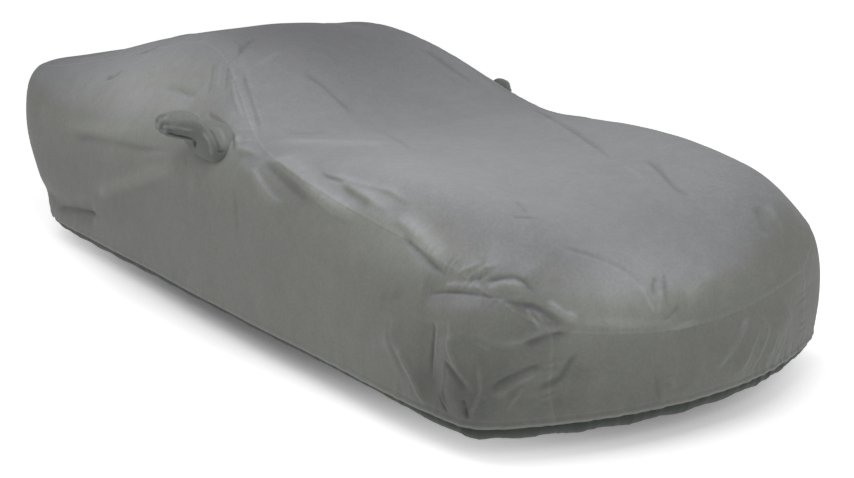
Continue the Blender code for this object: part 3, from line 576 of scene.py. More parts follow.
def seen_places(tree, line):
    """Where the cloth shows at each pixel of a line on the photo, but for any past its edge."""
    right, up, forward = eye_axes()
    places = []
    for across, down in line:
        way = (forward * FOCAL_PIXELS + right * (across - FRAME_WIDTH / 2.0)
               - up * (down - FRAME_HEIGHT / 2.0))
        hit = tree.ray_cast(Vector(EYE), Vector(way).normalized())[0]
        if hit is not None:
            places.append(np.array(hit))
    return places


def line_on(tree, places):
    """A smooth curve over the cloth, through the points of it nearest to some places."""
    points = np.array([tree.find_nearest(Vector(place))[0] for place in places], float)
    ends = np.vstack((2.0 * points[0] - points[1], points, 2.0 * points[-1] - points[-2]))
    out = []
    for before, start, end, after in zip(ends, ends[1:], ends[2:], ends[3:]):
        count = max(int(np.linalg.norm(end - start) / LINE_STEP), 1)
        for t in np.arange(count) / count:
            out.append(0.5 * (2.0 * start + (end - before) * t
                              + (2.0 * before - 5.0 * start + 4.0 * end - after) * t * t
                              + (3.0 * start - before - 3.0 * end + after) * t ** 3))
    out.append(points[-1])
    return np.array(out)


def along_line(line, places):
    """For each place: distance to a line, share of the line's length, and its segment."""
    step = np.diff(line, axis=0)
    length = np.linalg.norm(step, axis=1)
    way = step / length[:, None]
    done = np.concatenate(((0.0,), np.cumsum(length)[:-1]))
    rel = places[:, None, :] - line[None, :-1, :]
    reach = np.clip(np.einsum("psk,sk->ps", rel, way), 0.0, length)
    gap = rel - reach[:, :, None] * way[None]
    away = np.linalg.norm(gap, axis=2)
    best = away.argmin(axis=1)
    row = np.arange(len(places))
    share = (done[best] + reach[row, best]) / length.sum()
    return away[row, best], share, way[best], gap[row, best]


def crease_lift(points, normals, line, widths, height, skew, fade, phase):
    """How far one crease lifts each point of the cloth."""
    lift = np.zeros(len(points))
    reach = FOLD_REACH * max(widths) * max(skew, 1.0)
    near = np.all((points > line.min(axis=0) - reach) & (points < line.max(axis=0) + reach), axis=1)
    near = np.flatnonzero(near)
    if len(near):
        away, share, way, gap = along_line(line, points[near])
        left = dot(np.cross(way, gap), normals[near]) > 0.0
        width = (widths[0] + (widths[1] - widths[0]) * share) * np.where(left, skew, 1.0)
        rise = soft_step(share / fade[0]) * soft_step((1.0 - share) / fade[1])
        uneven = 1.0 + CREASE_UNEVEN * np.sin(CREASE_TURNS * share + phase)
        lift[near] = height * uneven * rise * np.exp(-(away / width) ** 2)
    return lift


def fold_lift(points, normals):
    """The broad folds."""
    return sum(crease_lift(points, normals, np.array(fold["line"]), (fold["half_width"],) * 2,
                           fold["height"], 1.0, FOLD_FADE, 0.0)
               for fold in rows_of(FOLD_COLUMNS, FOLDS))


def fine_lift(points, normals, creases):
    """The finer creases, each given with its line over the cloth."""
    return sum(crease_lift(points, normals, line, (crease["start"], crease["end"]),
                           crease["height"], crease["skew"], CREASE_FADE, CREASE_PHASE * number)
               for number, (crease, line) in enumerate(creases))


def slack_lift(points):
    """Broad, low unevenness; the roof's top stays where the mount is."""
    lift = sum(height * np.sin(points @ np.array(turning) + phase)
               for height, *turning, phase in SLACK_WAVES)
    from_mount = np.hypot(points[:, 0], points[:, 1] - ROOF_Y)
    return lift * soft_step(from_mount / SLACK_CLEAR)


def crease_lines(tree):
    """Every fine crease with its line over the cloth."""
    found = []
    for number, crease in enumerate(rows_of(CREASE_COLUMNS, SIDE_CREASES + TOP_CREASES)):
        places = seen_places(tree, crease["line"])
        found.append((crease, line_on(tree, places)))
        middle = np.mean(places, axis=0)
        shown = middle[1] < TWIN_CLEAR[0] and middle[2] > TWIN_CLEAR[1]
        if number < len(SIDE_CREASES) and not shown:
            shift = np.array((0.0, TWIN_SHIFT * math.sin(TWIN_TURNS * number), 0.0))
            places = [place * (-1.0, 1.0, 1.0) + shift for place in reversed(places)]
            twin = dict(crease, start=crease["end"], end=crease["start"],
                        height=TWIN_SHARE * crease["height"])
            found.append((twin, line_on(tree, places)))
    return found + [(crease, line_on(tree, crease["line"]))
                    for crease in rows_of(CREASE_COLUMNS, TAIL_CREASES)]


# The cloth is never quite smooth: soft lumps, and faint wrinkles in patches.
LUMP = 0.0016             # height of the lumps
LUMP_TURNS = 6.5          # lumps for each metre, about
LUMP_BEND = 0.06          # how far they bend the wrinkles
WRINKLE = 0.0012          # depth of the faint wrinkles
WRINKLE_TURNS = 8.0       # wrinkles for each metre, about
WRINKLE_WIDTH = 0.09      # share of the way from one to the next
PATCH_TURNS = 2.3         # patches for each metre, about
PATCH_SHARE = (0.45, 1.6)     # how strong the wrinkles are in the mean, and how much that varies
FAR_AWAY = Vector((37.0, 11.0, 5.0))    # takes the patches' pattern from another place


def uneven_lift(points):
    """Lumps and faint wrinkles."""
    lift = np.empty(len(points))
    for number, point in enumerate(points.tolist()):
        place = Vector(point)
        lump = noise.noise(place * LUMP_TURNS)
        bent = place + Vector((lump, -lump, lump)) * LUMP_BEND
        wrinkle = math.exp(-(noise.noise(bent * WRINKLE_TURNS) / WRINKLE_WIDTH) ** 2)
        patch = PATCH_SHARE[0] + PATCH_SHARE[1] * noise.noise(place * PATCH_TURNS + FAR_AWAY)
        lift[number] = LUMP * lump - WRINKLE * wrinkle * min(max(patch, 0.0), 1.0)
    return lift


# ---------------------------------------------------------------- the seams
# Each seam is a narrow lap: the top lies over every panel, and the sides lie over the
# front and the rear.  The lap's profile: how far off its panel it runs, and how high.
LAP = ((0.0030, 0.0013), (0.0062, 0.0012), (0.0082, 0.0007), (0.0090, -0.0004))
LAP_RISE = 0.0013         # the panel that lies over stands this much higher at the seam
LAP_SPREAD = 0.014        # and comes down over this distance
PUCKER = 0.0016           # height of the puckers that the stitches draw
PUCKER_LENGTH = 0.046     # from one to the next
PUCKER_REACH = 0.034      # how far from the seam they reach
PUCKER_SWAY = (1.3, 0.37)
PUCKER_SECOND = (0.5, 1.73, 0.8)    # smaller ones: height and number as shares, phase
PUCKER_PATCHES = (0.6, 0.4, 2.7, 3.1)
STITCH_OUT = 0.0035       # the stitches lie this far out on the lap
STITCH_PITCH = 0.0080
STITCH_HALF = (0.0027, 0.0007, 0.0006)   # half of a stitch's length, width and height
STITCH_FACES = ((0, 1, 2), (1, 3, 2), (3, 4, 2), (4, 0, 2),
                (1, 0, 5), (3, 1, 5), (4, 3, 5), (0, 4, 5))


def edge_table(quads, panels):
    """Each side of each quad as a sorted pair of point numbers, with its quad's panel."""
    pairs = np.stack((quads.ravel(), np.roll(quads, -1, axis=1).ravel()), axis=1)
    return np.sort(pairs, axis=1), np.repeat(panels, 4)


def follow(pairs):
    """Linked pairs of point numbers as lines of points, each with whether it closes."""
    links = {}
    for first, second in pairs:
        links.setdefault(first, []).append(second)
        links.setdefault(second, []).append(first)
    lines = []
    while links:
        ends = [point for point, near in links.items() if len(near) == 1]
        line = [ends[0] if ends else min(links)]
        while True:
            ahead = [near for near in links.pop(line[-1]) if near in links]
            if not ahead:
                break
            line.append(ahead[0])
        lines.append((np.array(line), not ends))
    return lines


def seam_lines(quads, panels):
    """The seams, as (panel that lies over, line of point numbers, whether it closes)."""
    pairs, owners = edge_table(quads, panels)
    order = np.lexsort((pairs[:, 1], pairs[:, 0]))
    pairs = pairs[order]
    owners = owners[order]
    paired = np.all(pairs[1:] == pairs[:-1], axis=1) & (owners[1:] != owners[:-1])
    over = np.minimum(owners[1:], owners[:-1])[paired]
    pairs = pairs[1:][paired]
    return [(panel, line, closes) for panel in np.unique(over).tolist()
            for line, closes in follow(pairs[over == panel].tolist())]


def run_along(places, closes):
    """How far along a line each of its points is, and the line's direction there."""
    if closes:
        ahead = np.roll(places, -1, axis=0) - np.roll(places, 1, axis=0)
    else:
        ahead = np.gradient(places, axis=0)
    steps = np.linalg.norm(np.diff(places, axis=0), axis=1)
    return np.concatenate(((0.0,), np.cumsum(steps))), unit(ahead)


def way_off(seam, points, normals, quads, panels):
    """At each point of a seam, the way off the panel that lies over, along the cloth."""
    over, line, closes = seam
    pairs = edge_table(quads, panels)[0][np.repeat(panels, 4) > over]
    pairs = np.vstack((pairs, pairs[:, ::-1]))
    on_line = np.zeros(len(points), bool)
    on_line[line] = True
    pairs = pairs[on_line[pairs[:, 0]] & ~on_line[pairs[:, 1]]]
    total = np.zeros_like(points)
    np.add.at(total, pairs[:, 0], points[pairs[:, 1]] - points[pairs[:, 0]])
    way = total[line]
    for across in (run_along(points[line], closes)[1], normals[line]):
        way -= across * dot(way, across)[:, None]
    return unit(way)


def seam_field(seams, points):
    """For each point of the cloth: its distance from the nearest seam, and how far along that."""
    tree = KDTree(sum(len(line) for _, line, _ in seams))
    runs = []
    for _, line, closes in seams:
        for number, run in zip(line.tolist(), run_along(points[line], closes)[0].tolist()):
            tree.insert(Vector(points[number]), len(runs))
            runs.append(run)
    tree.balance()
    found = [tree.find(Vector(point)) for point in points.tolist()]
    return np.array([hit[2] for hit in found]), np.array([runs[hit[1]] for hit in found])


def pucker_lift(gap, run, points):
    """Puckers across a seam, stronger in patches."""
    turn = 2.0 * math.pi * run / PUCKER_LENGTH
    height, number, phase = PUCKER_SECOND
    wave = swaying(turn, PUCKER_SWAY) + height * np.sin(number * turn + phase)
    patch = patches(PUCKER_PATCHES, run, points[:, 1])
    return PUCKER * patch * wave * np.exp(-(gap / PUCKER_REACH) ** 2)


def lap_strip(seam, points, normals, way, start):
    """The lap's own points and quads, running off the seam's line."""
    _, line, closes = seam
    places = [points[line] + way * out + normals[line] * up for out, up in LAP]
    rows = [line] + [start + len(line) * row + np.arange(len(line)) for row in range(len(LAP))]
    quads = []
    for near, far in zip(rows, rows[1:]):
        ring = np.stack((near, np.roll(near, -1), np.roll(far, -1), far), axis=1)
        quads.append(ring if closes else ring[:-1])
    quads = np.vstack(quads)
    ahead = run_along(points[line], closes)[1]
    facing = dot(np.cross(ahead, way), normals[line]).mean()
    return np.vstack(places), quads if facing > 0.0 else quads[:, ::-1]


def stitch_row(places, up, closes):
    """Stitches along a line of places, as points and triangles."""
    run, ahead = run_along(places, closes)
    at = np.arange(STITCH_PITCH, run[-1], STITCH_PITCH)
    middle, ahead, up = [np.stack([np.interp(at, run, part) for part in value.T], axis=1)
                         for value in (places, ahead, up)]
    half = [way * size for way, size in zip((ahead, np.cross(up, ahead), up), STITCH_HALF)]
    corners = [middle + way for way in half] + [middle - way for way in half]
    numbers = np.array(STITCH_FACES)[None] + 6 * np.arange(len(at))[:, None, None]
    return np.stack(corners, axis=1).reshape(-1, 3), numbers.reshape(-1, 3)


# ---------------------------------------------------------------- painted light and shade
# Broad places where the cloth is painted paler, as painted light, and places painted darker,
# as painted shade: the middle of the place, how far it reaches along X, Y and Z, and by how much.
PAINTED_LIGHT_COLUMNS = ("name", "place", "reach", "share")
PAINTED_LIGHT_PLACES = (
    ("roof", (-0.05, 0.66, 1.20), (0.70, 0.78, 0.60), -0.37),
    ("front of the top", (-0.38, -2.12, 0.58), (0.55, 0.28, 0.13), 0.60),
    ("right shoulder", (-0.85, -1.55, 0.71), (0.30, 0.40, 0.10), 0.31),
    ("right shoulder, rear", (-0.84, -1.10, 0.80), (0.30, 0.30, 0.12), 0.16),
    ("right upper side", (-0.76, 0.98, 0.97), (0.50, 0.80, 0.25), 0.54),
    ("right side", (-0.95, 0.90, 0.50), (0.40, 2.00, 0.45), -0.21),
    ("around the right pocket", (-0.85, 0.00, 0.88), (0.20, 0.16, 0.16), 0.15),
    ("under the right corner's roll", (-0.72, -2.02, 0.53), (0.12, 0.12, 0.09), -0.22),
    ("right front corner", (-0.87, -1.95, 0.38), (0.28, 0.30, 0.22), -0.14),
    ("front", (0.00, -2.20, 0.30), (0.95, 0.28, 0.16), -0.09),
    ("low by the right corner", (-0.97, -1.85, 0.22), (0.25, 0.28, 0.16), -0.28),
    ("low on the front", (-0.50, -2.14, 0.18), (0.60, 0.30, 0.08), -0.14),
    ("left shoulder", (0.85, -1.40, 0.74), (0.30, 0.50, 0.12), 0.16),
    ("left upper side", (0.76, 1.10, 0.97), (0.50, 0.70, 0.25), 0.36),
    ("low by the left corner", (0.97, -1.80, 0.22), (0.25, 0.30, 0.16), -0.16),
)
# Places that turn to the painted skylight colour sooner or later than the rest, in the same way.
PAINTED_SKYLIGHT_PLACES = (
    ("front of the top", (-0.30, -2.08, 0.61), (0.75, 0.32, 0.10), 0.26),
    ("upper side", (-0.76, 0.90, 0.97), (0.40, 0.90, 0.25), -0.08),
)
PAINTED_SKYLIGHT_FROM = (0.42, 0.88)     # upward parts of the normal over which the cloth turns to that painted skylight colour
SEAM_HIGHLIGHT = (0.10, 0.008)     # painted highlight: the cloth is painted this much paler at its seams, over this distance
HEM_HIGHLIGHT = (0.20, 0.003, 0.006)    # and a painted highlight by its hem's edge, this far above it and over this height


def painted_light_by_place(value, points, places):
    """A value at each point, raised or lowered by a table's broad places of painted light and
    shade.
    """
    for fade in rows_of(PAINTED_LIGHT_COLUMNS, places):
        away = (points - fade["place"]) / fade["reach"]
        value = value + fade["share"] * np.exp(-(away * away).sum(axis=1))
    return value


def painted_edge_highlight(points, gap, turned):
    """How much paler the cloth is painted along its seams and its hem, as painted highlight."""
    seam = SEAM_HIGHLIGHT[0] * np.exp(-(gap / SEAM_HIGHLIGHT[1]) ** 2)
    up = (points[:, 2] - HEM_Z - HEM_HIGHLIGHT[1]) / HEM_HIGHLIGHT[2]
    return (seam + HEM_HIGHLIGHT[0] * np.exp(-up * up)) * (1.0 - turned)


def painted_skylight_share(points, normals):
    """How far the cloth is painted in its skylight colour at each point, by how far it faces up."""
    up = painted_light_by_place(normals[:, 2], points, PAINTED_SKYLIGHT_PLACES)
    return soft_step((up - PAINTED_SKYLIGHT_FROM[0]) / (PAINTED_SKYLIGHT_FROM[1] - PAINTED_SKYLIGHT_FROM[0]))


# ---------------------------------------------------------------- the hem
# The hem is turned under and drawn in by its elastic: the distance along the cover,
# how far the hem drops there, and how far it goes in.
HEM_TUCK = (
    (-2.30, 0.063, 0.045),
    (-1.80, 0.058, 0.045),
    (-1.40, 0.031, 0.021),
    (0.00, 0.036, 0.022),
    (0.70, 0.046, 0.026),
    (1.30, 0.050, 0.030),
    (2.30, 0.050, 0.050),
)
SILL_X = 0.975            # half width at the hem, along the middle of each side
RUFFLE = 0.0036           # gathers of the drawn-in edge, up and down
RUFFLE_LENGTH = 0.270     # from one gather to the next
RUFFLE_FULL_DROP = 0.050  # a hem that drops less has smaller gathers
RUFFLE_IN = 0.5           # share of them that also goes in
GATHER_IN = 0.3           # share of the fine gathers that goes in
# The rolled edge turns in below itself: how far in, how far down, and share of the under side's
# painted shade.
HEM_LIP = ((0.002, 0.0035, 0.0), (0.007, 0.0055, 0.3), (0.013, 0.0055, 1.0), (0.0135, 0.008, 1.0))
HEM_ROWS = (0.18, 0.32, 0.48, 0.64, 0.82, 1.0)   # shares of the way from there to the end
UNDER_PALER = 0.45        # the under side's painted shade gets this much paler from there to the end
HEM_ROLL = ((0.007, 0.009, 0.0034), (0.024, 0.006, -0.0009))   # height up, half width, lift
HEM_STITCH_UP = 0.030     # the hem's stitches run this far above its edge
CAST_FROM = 0.10          # lies outside the cloth
# The elastic's fine gathers: from one to the next, height, phase.
GATHERS = ((0.047, 0.0010, 0.4), (0.078, 0.0016, 1.9), (0.127, 0.0024, 4.1))
GATHER_SWAY = (0.9, 0.29)
GATHER_PATCHES = (0.7, 0.3, 4.1, 5.0)
GATHER_RISE = 0.080       # they die away over this height
GATHER_BY_Y = ((-2.3, -1.5, -0.9, 1.1, 1.8, 2.3), (1.1, 1.0, 0.2, 0.2, 0.8, 1.1))


def round_hem(points):
    """Distance along the hem from the middle of the front."""
    behind = points[:, 1] - np.abs(points[:, 0]) + 2.0 * SILL_X
    return np.where(points[:, 1] > 0.0, behind, points[:, 1] + np.abs(points[:, 0]))


def gather_wave(points):
    """The fine gathers, before they die away upward."""
    along = round_hem(points)
    wave = sum(height * swaying(2.0 * math.pi * along / length + phase, GATHER_SWAY)
               for length, height, phase in GATHERS)
    patch = patches(GATHER_PATCHES, along, points[:, 0])
    return wave * patch * np.interp(points[:, 1], *GATHER_BY_Y)


def hem_lift(points):
    """The roll of the hem, its line of stitches and its gathers."""
    up = points[:, 2] - HEM_Z
    lift = gather_wave(points) * np.exp(-(up / GATHER_RISE) ** 2)
    for height, half_width, rise in HEM_ROLL:
        lift += rise * np.exp(-((up - height) / half_width) ** 2)
    return lift


def rim_loop(quads):
    """The skin's edge as one closed loop of point numbers, with the quad beside each."""
    starts = quads.T.ravel().tolist()
    ends = np.roll(quads, -1, axis=1).T.ravel().tolist()
    edges = {}
    for side, (a, b) in enumerate(zip(starts, ends)):
        key = (a, b) if a < b else (b, a)
        edges[key] = None if key in edges else side
    after = {starts[side]: (ends[side], side % len(quads))
             for side in edges.values() if side is not None}
    loop = [next(iter(after))]
    owners = []
    while len(owners) < len(after):
        following, quad = after[loop[-1]]
        owners.append(quad)
        loop.append(following)
    return np.array(loop[:-1]), np.array(owners)


def level(normals):
    """The level part of normals, as directions."""
    return unit(normals * (1.0, 1.0, 0.0))


def turn_hem_under(points, normals, quads, panels):
    """Carry the hem's edge on, down and in, with the gathers of its elastic."""
    loop, owners = rim_loop(quads)
    edge = points[loop]
    outward = level(normals[loop])
    stations, drops, inwards = np.array(HEM_TUCK).T
    drop = np.interp(edge[:, 1], stations, drops)
    gather = RUFFLE * np.sin(2.0 * math.pi * round_hem(edge) / RUFFLE_LENGTH)
    down = drop + gather * drop / RUFFLE_FULL_DROP
    back = (np.interp(edge[:, 1], stations, inwards) + RUFFLE_IN * gather
            + GATHER_IN * gather_wave(edge))
    # Each row's third value is its share of the painted shade under the hem.
    rows = list(HEM_LIP)
    lip_in, lip_down, _ = HEM_LIP[-1]
    for share in HEM_ROWS:
        sink = math.sin(0.5 * math.pi * share)
        draw = 1.0 - math.cos(0.5 * math.pi * share)
        rows.append((lip_in + back * draw, lip_down + (down - lip_down) * sink,
                     1.0 - UNDER_PALER * share))
    ahead = np.roll(np.arange(len(loop)), -1)
    last = loop
    strips = [(points, quads, panels, np.zeros(len(points)))]
    for row, (inward, drop, under) in enumerate(rows):
        place = edge - outward * np.broadcast_to(inward, len(loop))[:, None]
        place[:, 2] -= drop
        number = len(points) + len(loop) * row + np.arange(len(loop))
        faces = np.stack((last[ahead], last, number, number[ahead]), axis=1)
        strips.append((place, faces, panels[owners], np.full(len(loop), under)))
        last = number
    return [np.concatenate(parts) for parts in zip(*strips)]


def hem_stitches(points, normals, quads, loop):
    """The hem's row of stitches, a little above its edge."""
    tree = tree_of(points, quads)
    outward = level(normals[loop])
    found = []
    for start, way in zip(points[loop] + outward * CAST_FROM + (0.0, 0.0, HEM_STITCH_UP), outward):
        hit, normal, _, _ = tree.ray_cast(Vector(start), -Vector(way))
        if hit is not None:
            found.append((hit, normal))
    places, up = np.array(found).transpose(1, 0, 2)
    return stitch_row(places, up, True)


# ---------------------------------------------------------------- the pockets
POCKET_COLUMNS = ("x", "y", "z", "half_y", "half_z", "lean")
POCKET_RINGS = (
    (0.900, 0.083, 0.840, 0.146, 0.080, 0.50),
    (0.932, 0.090, 0.856, 0.138, 0.084, 0.40),
    (0.948, 0.100, 0.886, 0.124, 0.088, 0.10),
    (0.962, 0.124, 0.918, 0.112, 0.069, 0.00),
    (0.990, 0.162, 0.919, 0.096, 0.066, 0.00),
    (1.025, 0.196, 0.915, 0.080, 0.056, 0.00),
    (1.052, 0.216, 0.917, 0.063, 0.044, 0.00),
    (1.066, 0.226, 0.922, 0.034, 0.024, 0.00),
)
POCKET_PLACES = (         # side, shift along Y, shift up, share of the length along Y
    ("right", 0.000, 0.000, 1.00),
    ("left", 0.175, -0.060, 0.80),
)
POCKET_SIDES = 20         # points around a ring
POCKET_SQUARE = 2.5       # 2 is an oval, more is squarer
POCKET_ROOT = 0.004       # how far the pocket's edge stands inside the panel
POCKET_MOUTH = 0.70       # the panel is open inside this share of the pocket's outline
POCKET_LIP = 0.010        # least way from that edge to the pocket's first ring
POCKET_SMOOTHING = 3
POCKET_TIP = 0.45         # the last ring shrinks to this share before it closes
OUTSIDE_X = 1.50          # lies outside everything

# Its creases, as the others are given.  The left pocket's are the same, the other way round.
POCKET_CREASES = (
    ("edge over the front", 0.007, 0.007, 0.004, 1.0, ((160, 127), (168, 127), (178, 128),
     (189, 130), (199, 131))),
    ("crease under the edge", 0.007, 0.008, -0.0085, 0.7, ((165, 132), (173, 135), (183, 137),
     (191, 139), (198, 142))),
    ("notch", 0.007, 0.006, -0.011, 1.0, ((195, 141), (194, 147), (194, 154))),
    ("edge down the front", 0.008, 0.008, 0.005, 1.0, ((202, 131), (208, 139), (211, 148),
     (213, 158))),
    ("hollow after it", 0.008, 0.008, -0.004, 1.0, ((209, 128), (215, 137), (219, 147),
     (221, 156))),
    ("second edge", 0.007, 0.007, 0.0035, 1.0, ((217, 127), (223, 136), (226, 147))),
    ("small fold", 0.005, 0.005, -0.004, 1.0, ((216, 151), (221, 152), (226, 150))),
)
TIP_X = 1.01              # the pocket is crumpled outside this distance from the middle
TIP_REACH = 0.05
TIP_CRUMPLE = 0.0060
TIP_TURNS = 34.0          # crumples for each metre, about
POCKET_SHADE = 0.36       # painted shade: the pocket's front and under side are painted this much darker
POCKET_SHADED = (0.45, -0.9, -1.9)    # how far, if it faces along X, and more by Y and by Z
POCKET_PAINTED_FOLD_FULL_AT = 0.006       # height at which a crease's painted highlight and shade are full
POCKET_PAINTED_FOLD_SHADE = 0.42   # its creases' painted highlight and shade stand out this much more than the panels' do


def pocket_lift(place, points, normals, tree, eye_tree):
    """The pocket's creases and its crumpled tip."""
    word, along, up_shift, length = place
    creases = []
    for crease in rows_of(CREASE_COLUMNS, POCKET_CREASES):
        line = [(SIDES[word] * abs(x), y * length + along, z + up_shift)
                for x, y, z in seen_places(eye_tree, crease["line"])]
        creases.append((crease, line_on(tree, line)))
    tip = soft_step((np.abs(points[:, 0]) - TIP_X) / TIP_REACH)
    crumple = [noise.noise(Vector(point) * TIP_TURNS) for point in points.tolist()]
    return fine_lift(points, normals, creases) + TIP_CRUMPLE * tip * np.array(crumple)


def pocket_ring(ring, place):
    """One ring of a pocket as points."""
    word, along, up_shift, length = place
    points = []
    for step in range(POCKET_SIDES):
        angle = 2.0 * math.pi * step / POCKET_SIDES
        across, up = [math.copysign(abs(part) ** (2.0 / POCKET_SQUARE), part)
                      for part in (math.cos(angle), math.sin(angle))]
        y = (ring["y"] * length + along + ring["half_y"] * length * across
             + ring["lean"] * ring["half_z"] * up)
        points.append(Vector((SIDES[word] * ring["x"], y,
                              ring["z"] + up_shift + ring["half_z"] * up)))
    return points


def under_pocket(place, points, quads):
    """Which quads lie inside a pocket's mouth."""
    ring = rows_of(POCKET_COLUMNS, POCKET_RINGS)[0]
    word, along, up_shift, length = place
    middle = points[quads].mean(axis=1)
    up = (middle[:, 2] - ring["z"] - up_shift) / ring["half_z"]
    lean = ring["lean"] * ring["half_z"] * up
    across = (middle[:, 1] - ring["y"] * length - along - lean) / (ring["half_y"] * length)
    inside = np.abs(across) ** POCKET_SQUARE + np.abs(up) ** POCKET_SQUARE < POCKET_MOUTH
    return inside & (middle[:, 0] * SIDES[word] > 0.0)


def seat_on(tree, points, side):
    """Points moved along X until they stand just inside the panel's cloth."""
    seated = []
    for point in points:
        start = Vector((side * OUTSIDE_X, point.y, point.z))
        hit = tree.ray_cast(start, Vector((-side, 0.0, 0.0)))[0]
        seated.append(Vector((hit.x - side * POCKET_ROOT, point.y, point.z)))
    return seated


def pocket_arrays(place, tree):
    """A pocket's fine surface as points, normals and quads."""
    side = SIDES[place[0]]
    rings = [pocket_ring(ring, place) for ring in rows_of(POCKET_COLUMNS, POCKET_RINGS)]
    root = seat_on(tree, rings[0], side)
    for point, seat in zip(rings[0], root):
        point.x = side * max(side * point.x, side * seat.x + POCKET_LIP)
    middle = sum(rings[-1], Vector()) / POCKET_SIDES
    tip = [middle + (point - middle) * POCKET_TIP for point in rings[-1]]
    bm = bmesh.new()
    made = [[bm.verts.new(point) for point in ring] for ring in [root] + rings + [tip]]
    for ring, after in zip(made, made[1:]):
        for step in range(POCKET_SIDES):
            later = (step + 1) % POCKET_SIDES
            bm.faces.new((ring[step], ring[later], after[later], after[step]))
    tip = made[-1]
    for step in range(POCKET_SIDES // 2 - 1):
        bm.faces.new((tip[step], tip[step + 1],
                      tip[POCKET_SIDES - step - 2], tip[POCKET_SIDES - step - 1]))
    bmesh.ops.recalc_face_normals(bm, faces=bm.faces)
    return smoothed_arrays(mesh_of("pocket_cage", bm), POCKET_SMOOTHING)[:3]


# ---------------------------------------------------------------- cloth
# The cloth is painted bluer and paler where it faces up, as painted light from above, and greener
# where it hangs, as painted shade.
PAINTED_SKYLIGHT_COLOUR = (0.194, 0.196, 0.205)
HUNG_COLOUR = (0.160, 0.165, 0.151)
# The pocket's cloth is painted darker than the cover's, as painted shade.
SHADED_POCKET_COLOUR = (0.143, 0.150, 0.140)
# Painted shade: the turned-under hem is painted this dark.
PAINTED_UNDER_SHADE = (0.032, 0.040, 0.034)
THREAD_COLOUR = (0.240, 0.243, 0.246)
THREAD_SHADES = (0.8, 1.15)   # its darkest and palest, as shares of that
PAINTED_FOLD_SHADE = 0.20          # painted highlight and shade: a ridge is painted this much paler, and a trough as much darker
NOISE_SPAN = (0.3, 0.7)   # the part of a noise's values that is spread over a range
# Mottling, broad to fine: the noise's scale, detail and roughness, least and most share.
MOTTLES = (
    (2.6, 5.0, 0.60, 0.96, 1.04),
    (16.0, 4.0, 0.65, 0.95, 1.05),
    (75.0, 3.0, 0.65, 0.93, 1.07),
)
ROUGHNESS = (7.0, 3.0, 0.5, 0.78, 0.90)     # the same for the cloth's roughness
WEAVE_TURN = 2.0 * math.pi / 0.0016     # radians for each metre: one thread in 1.6 mm
WEAVE_BUMP = {"Strength": 0.30, "Distance": 0.00012}
CRUMPLE = (38.0, 5.0, 0.6)    # the fine crumple's scale, detail and roughness
CRUMPLE_BUMP = {"Strength": 0.25, "Distance": 0.004}
CLOTH_SURFACE = {"Metallic": 0.0, "Specular IOR Level": 0.30,
                 "Sheen Weight": 0.10, "Sheen Roughness": 0.5}
THREAD_SURFACE = {"Roughness": 0.6, "Specular IOR Level": 0.4}
THREAD_TWISTS = 900.0         # scale of the noise that stands for its twist
THREAD_BUMP = {"Strength": 0.4, "Distance": 0.0003}


def fill(tree, node, values):
    """Set a node's sockets: an output is linked, and anything else is the socket's value."""
    for word, value in values.items():
        if isinstance(value, bpy.types.NodeSocket):
            tree.links.new(value, node.inputs[word])
        else:
            node.inputs[word].default_value = value


def add_node(tree, kind, out, values, **settings):
    """A node with its settings and sockets, as its output called out."""
    node = tree.nodes.new("ShaderNode" + kind)
    for word, value in settings.items():
        setattr(node, word, value)
    fill(tree, node, values)
    return node.outputs[out]


def new_material(name, values):
    """A material, its node tree and its shader with constants set."""
    material = bpy.data.materials.new(name)
    material.use_nodes = True
    tree = material.node_tree
    shader = tree.nodes["Principled BSDF"]
    fill(tree, shader, values)
    return material, tree, shader


